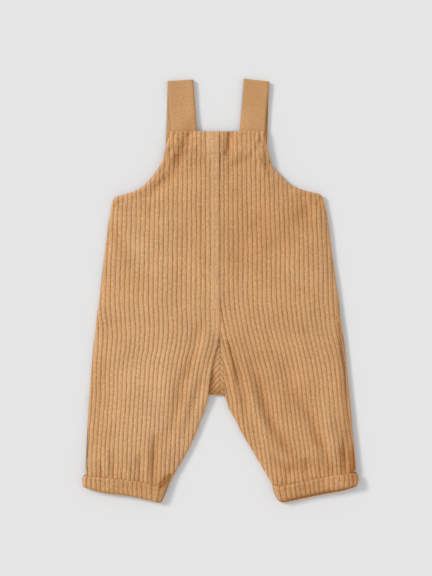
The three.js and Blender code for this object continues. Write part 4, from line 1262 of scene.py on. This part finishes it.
def strap_grid(leg):
    """A flat woven tape swept along its path, with rounded selvedges."""
    path = strap_path(leg)
    fine = curve_through(path, 150)
    tangent = np.gradient(fine, axis=0)
    turn = math.radians(STRAPS[leg]["slant"])
    wide = np.array([math.cos(turn), math.sin(turn), 0])
    normal = np.cross(wide, tangent)
    normal /= np.linalg.norm(normal, axis=1, keepdims=True)
    half = STRAP_CLOTH / 2
    flat = np.linspace(-1, 1, 25)
    ring = [(STRAP_WIDTH / 2 * a, half * min(1, 0.35 + 6 * (1 - abs(a)))) for a in flat]
    ring += [(a, -b) for a, b in reversed(ring)]
    ring.append(ring[0])
    length = np.concatenate([[0], np.cumsum(np.linalg.norm(np.diff(fine, axis=0), axis=1))])
    rows, uv, crest = [], [], []
    least = np.array((-np.inf, -np.inf, FLOOR_CLEAR))
    for a, b in ring:
        ripple = uneven("tape", np.full(len(fine), a), length)[:, None]
        rows.append(np.maximum(fine + wide * a + normal * (b + ripple), least))
        across = a + SWATCH["strap"] + (STRAP_SIDES_APART if b < 0 else 0)
        uv.append(np.stack([np.full(len(fine), across), length], 1))
        crest.append(np.full(len(fine), smooth(STRAP_WIDTH / 2 - abs(a), 0, 2.2)))
    return np.stack(rows), np.stack(crest), np.stack(uv), False


class DUNGAREES_OT_straps(bpy.types.Operator):
    """Makes the two woven shoulder straps"""

    bl_idname = "dungarees.straps"
    bl_label = "Straps"

    def execute(self, context):
        for leg in SIGN:
            piece = cloth_object(f"strap_{leg}_tape", [strap_grid(leg)], "woven_tape")
            close_mesh(piece)
            dress(piece, "strap_tape", f"strap_{leg}")
        return {"FINISHED"}


def stitch_mesh(name, paths, surface):
    """One mesh of small arched stitches along lines on the cloth."""
    length = look().stitch_length / MM
    pitch = length * STITCH_SPACING
    points, faces, uv = [], [], []
    sides, rings = STITCH_SIDES, len(STITCH_SIZES)
    ring = np.linspace(0, math.tau, sides, endpoint=False)
    for path in paths:
        step = np.linalg.norm(np.diff(path, axis=0), axis=1)
        run = np.concatenate([[0], np.cumsum(step)])
        for start in np.arange(1, run[-1] - length, pitch):
            at = start + length * np.linspace(0, 1, rings)
            x, y = np.interp(at, run, path[:, 0]), np.interp(at, run, path[:, 1])
            z = surface(x, y).max() + STITCH_ARCH
            way = np.array([x[-1] - x[0], y[-1] - y[0]]) / length
            size = STITCH_RADIUS * STITCH_SIZES
            base = len(points)
            for i in range(rings):
                for angle in ring:
                    out = size[i] * math.cos(angle)
                    points.append((x[i] - way[1] * out, y[i] + way[0] * out, z[i] + size[i] * math.sin(angle)))
                    uv.append((angle * STITCH_RADIUS, at[i]))
            for row in range(base, base + (rings - 1) * sides, sides):
                for j in range(sides):
                    a, b = row + j, row + (j + 1) % sides
                    faces.append((a, b, b + sides, a + sides))
            faces.append(tuple(range(base + sides - 1, base - 1, -1)))
            faces.append(tuple(range(len(points) - sides, len(points))))
    return mesh_object(name, points, faces, uv, "sewing_thread")


def offset(line, distance):
    """A line moved sideways on the garment."""
    way = np.gradient(line, axis=0)
    way /= np.linalg.norm(way, axis=1, keepdims=True)
    return line + distance * np.stack([-way[:, 1], way[:, 0]], 1)


class DUNGAREES_OT_stitches(bpy.types.Operator):
    """Sews the topstitching on the bib's hem, the armholes and the centre seam"""

    bl_idname = "dungarees.stitches"
    bl_label = "Stitching"

    def execute(self, context):
        for leg, sign in SIGN.items():
            surface = lambda x, y: front_surface(leg, x, y)[0]
            arm = offset(LINES[leg]["arm"], -sign * ARM_HEM)
            arm = arm[(arm[:, 1] < BIB_TOP - 3) & (sign * arm[:, 0] < outer_across(leg, arm[:, 1]) - 3)]
            hem_x = sign * np.linspace(1.5, outer_across(leg, np.array(BIB_TOP - BIB_HEM)) - ARM_HEM, 40)
            paths = [arm, np.stack([hem_x, BIB_TOP - hem_depth(hem_x)], 1)]
            if leg == "left":
                up = np.linspace(SEAM_START + 4, BIB_TOP - 2, 120)
                paths.append(np.stack([seam_across(up) - TOPSTITCH, up], 1))
            piece = stitch_mesh(f"stitches_{leg}", paths, surface)
            dress(piece, "corduroy")
        return {"FINISHED"}


SKY_COLOUR = (0.98, 0.99, 1.0, 1)
SKY_STRENGTH = 0.69
KEY_COLOUR = (1.0, 0.99, 0.975)
KEY_STRENGTH = 1.93
KEY_SPREAD = 14  # degrees: the wider, the softer its shadows
KEY_PLACE = (-1.5, 0.85, 1.0)  # metres: it shines from here to the middle of the garment
CAMERA_HEIGHT = 2.2
FLOOR_HALF = 4.0
FLOOR_DROP = 0.0002  # below the garment, so that the two don't share a plane


class DUNGAREES_OT_stage(bpy.types.Operator):
    """Makes the floor, the lights and the camera"""

    bl_idname = "dungarees.stage"
    bl_label = "Studio"

    def execute(self, context):
        scene = context.scene
        corners = [(a * FLOOR_HALF, b * FLOOR_HALF, 0) for a, b in ((-1, -1), (1, -1), (1, 1), (-1, 1))]
        mesh = bpy.data.meshes.new("studio_floor")
        mesh.from_pydata(corners, [], [(0, 1, 2, 3)])
        finish = {"Base Color": tuple(look().floor_colour), "Roughness": 0.9, "Specular IOR Level": 0.1}
        mesh.materials.append(new_material("studio_floor", finish)[0])
        floor = link("studio_floor", mesh)
        floor.location.z = -FLOOR_DROP

        world = bpy.data.worlds.new("studio")
        world.use_nodes = True
        sky = world.node_tree.nodes["Background"]
        sky.inputs[0].default_value = SKY_COLOUR
        sky.inputs[1].default_value = SKY_STRENGTH
        scene.world = world

        key = bpy.data.lights.new("key", "SUN")
        key.energy = KEY_STRENGTH
        key.angle = math.radians(KEY_SPREAD)
        key.color = KEY_COLOUR
        lamp = link("key", key)
        lamp.location = KEY_PLACE
        lamp.rotation_euler = (-lamp.location).to_track_quat("-Z", "Y").to_euler()

        photo_height = PHOTO_SIZE[1] * PIXEL * MM
        camera_data = bpy.data.cameras.new("camera")
        camera_data.sensor_fit = "VERTICAL"
        camera_data.sensor_height = 36
        camera_data.lens = camera_data.sensor_height * CAMERA_HEIGHT / photo_height
        camera = link("camera", camera_data)
        across, down = (whole / 2 - zero for whole, zero in zip(PHOTO_SIZE, PHOTO_ZERO))
        middle = place([[across * PIXEL, -down * PIXEL, 0]])[0]
        camera.location = (middle[0], middle[1], CAMERA_HEIGHT)
        scene.camera = camera
        scene.view_settings.view_transform = "Standard"
        return {"FINISHED"}


class DUNGAREES_PT_pieces(bpy.types.Panel):
    """Shows the sizes and colours that a user may change, and a button for each step that makes the scene"""

    bl_idname = "DUNGAREES_PT_pieces"
    bl_label = "Dungarees"
    bl_space_type = "VIEW_3D"
    bl_region_type = "UI"
    bl_category = "Dungarees"

    def draw(self, context):
        for key in Look.__annotations__:
            self.layout.prop(context.scene.dungarees_look, key)
        for operator in OPERATORS:
            self.layout.operator(operator.bl_idname)


OPERATORS = (
    DUNGAREES_OT_stage,
    DUNGAREES_OT_fronts,
    DUNGAREES_OT_backs,
    DUNGAREES_OT_forks,
    DUNGAREES_OT_cuffs,
    DUNGAREES_OT_straps,
    DUNGAREES_OT_stitches,
)
CLASSES = (Look, *OPERATORS, DUNGAREES_PT_pieces)


def register():
    for each in CLASSES:
        bpy.utils.register_class(each)
    bpy.types.Scene.dungarees_look = bpy.props.PointerProperty(type=Look)


def unregister():
    del bpy.types.Scene.dungarees_look
    for each in reversed(CLASSES):
        bpy.utils.unregister_class(each)


def main():
    register()
    for operator in OPERATORS:
        group, name = operator.bl_idname.split(".")
        getattr(getattr(bpy.ops, group), name)()


if __name__ == "__main__":
    main()
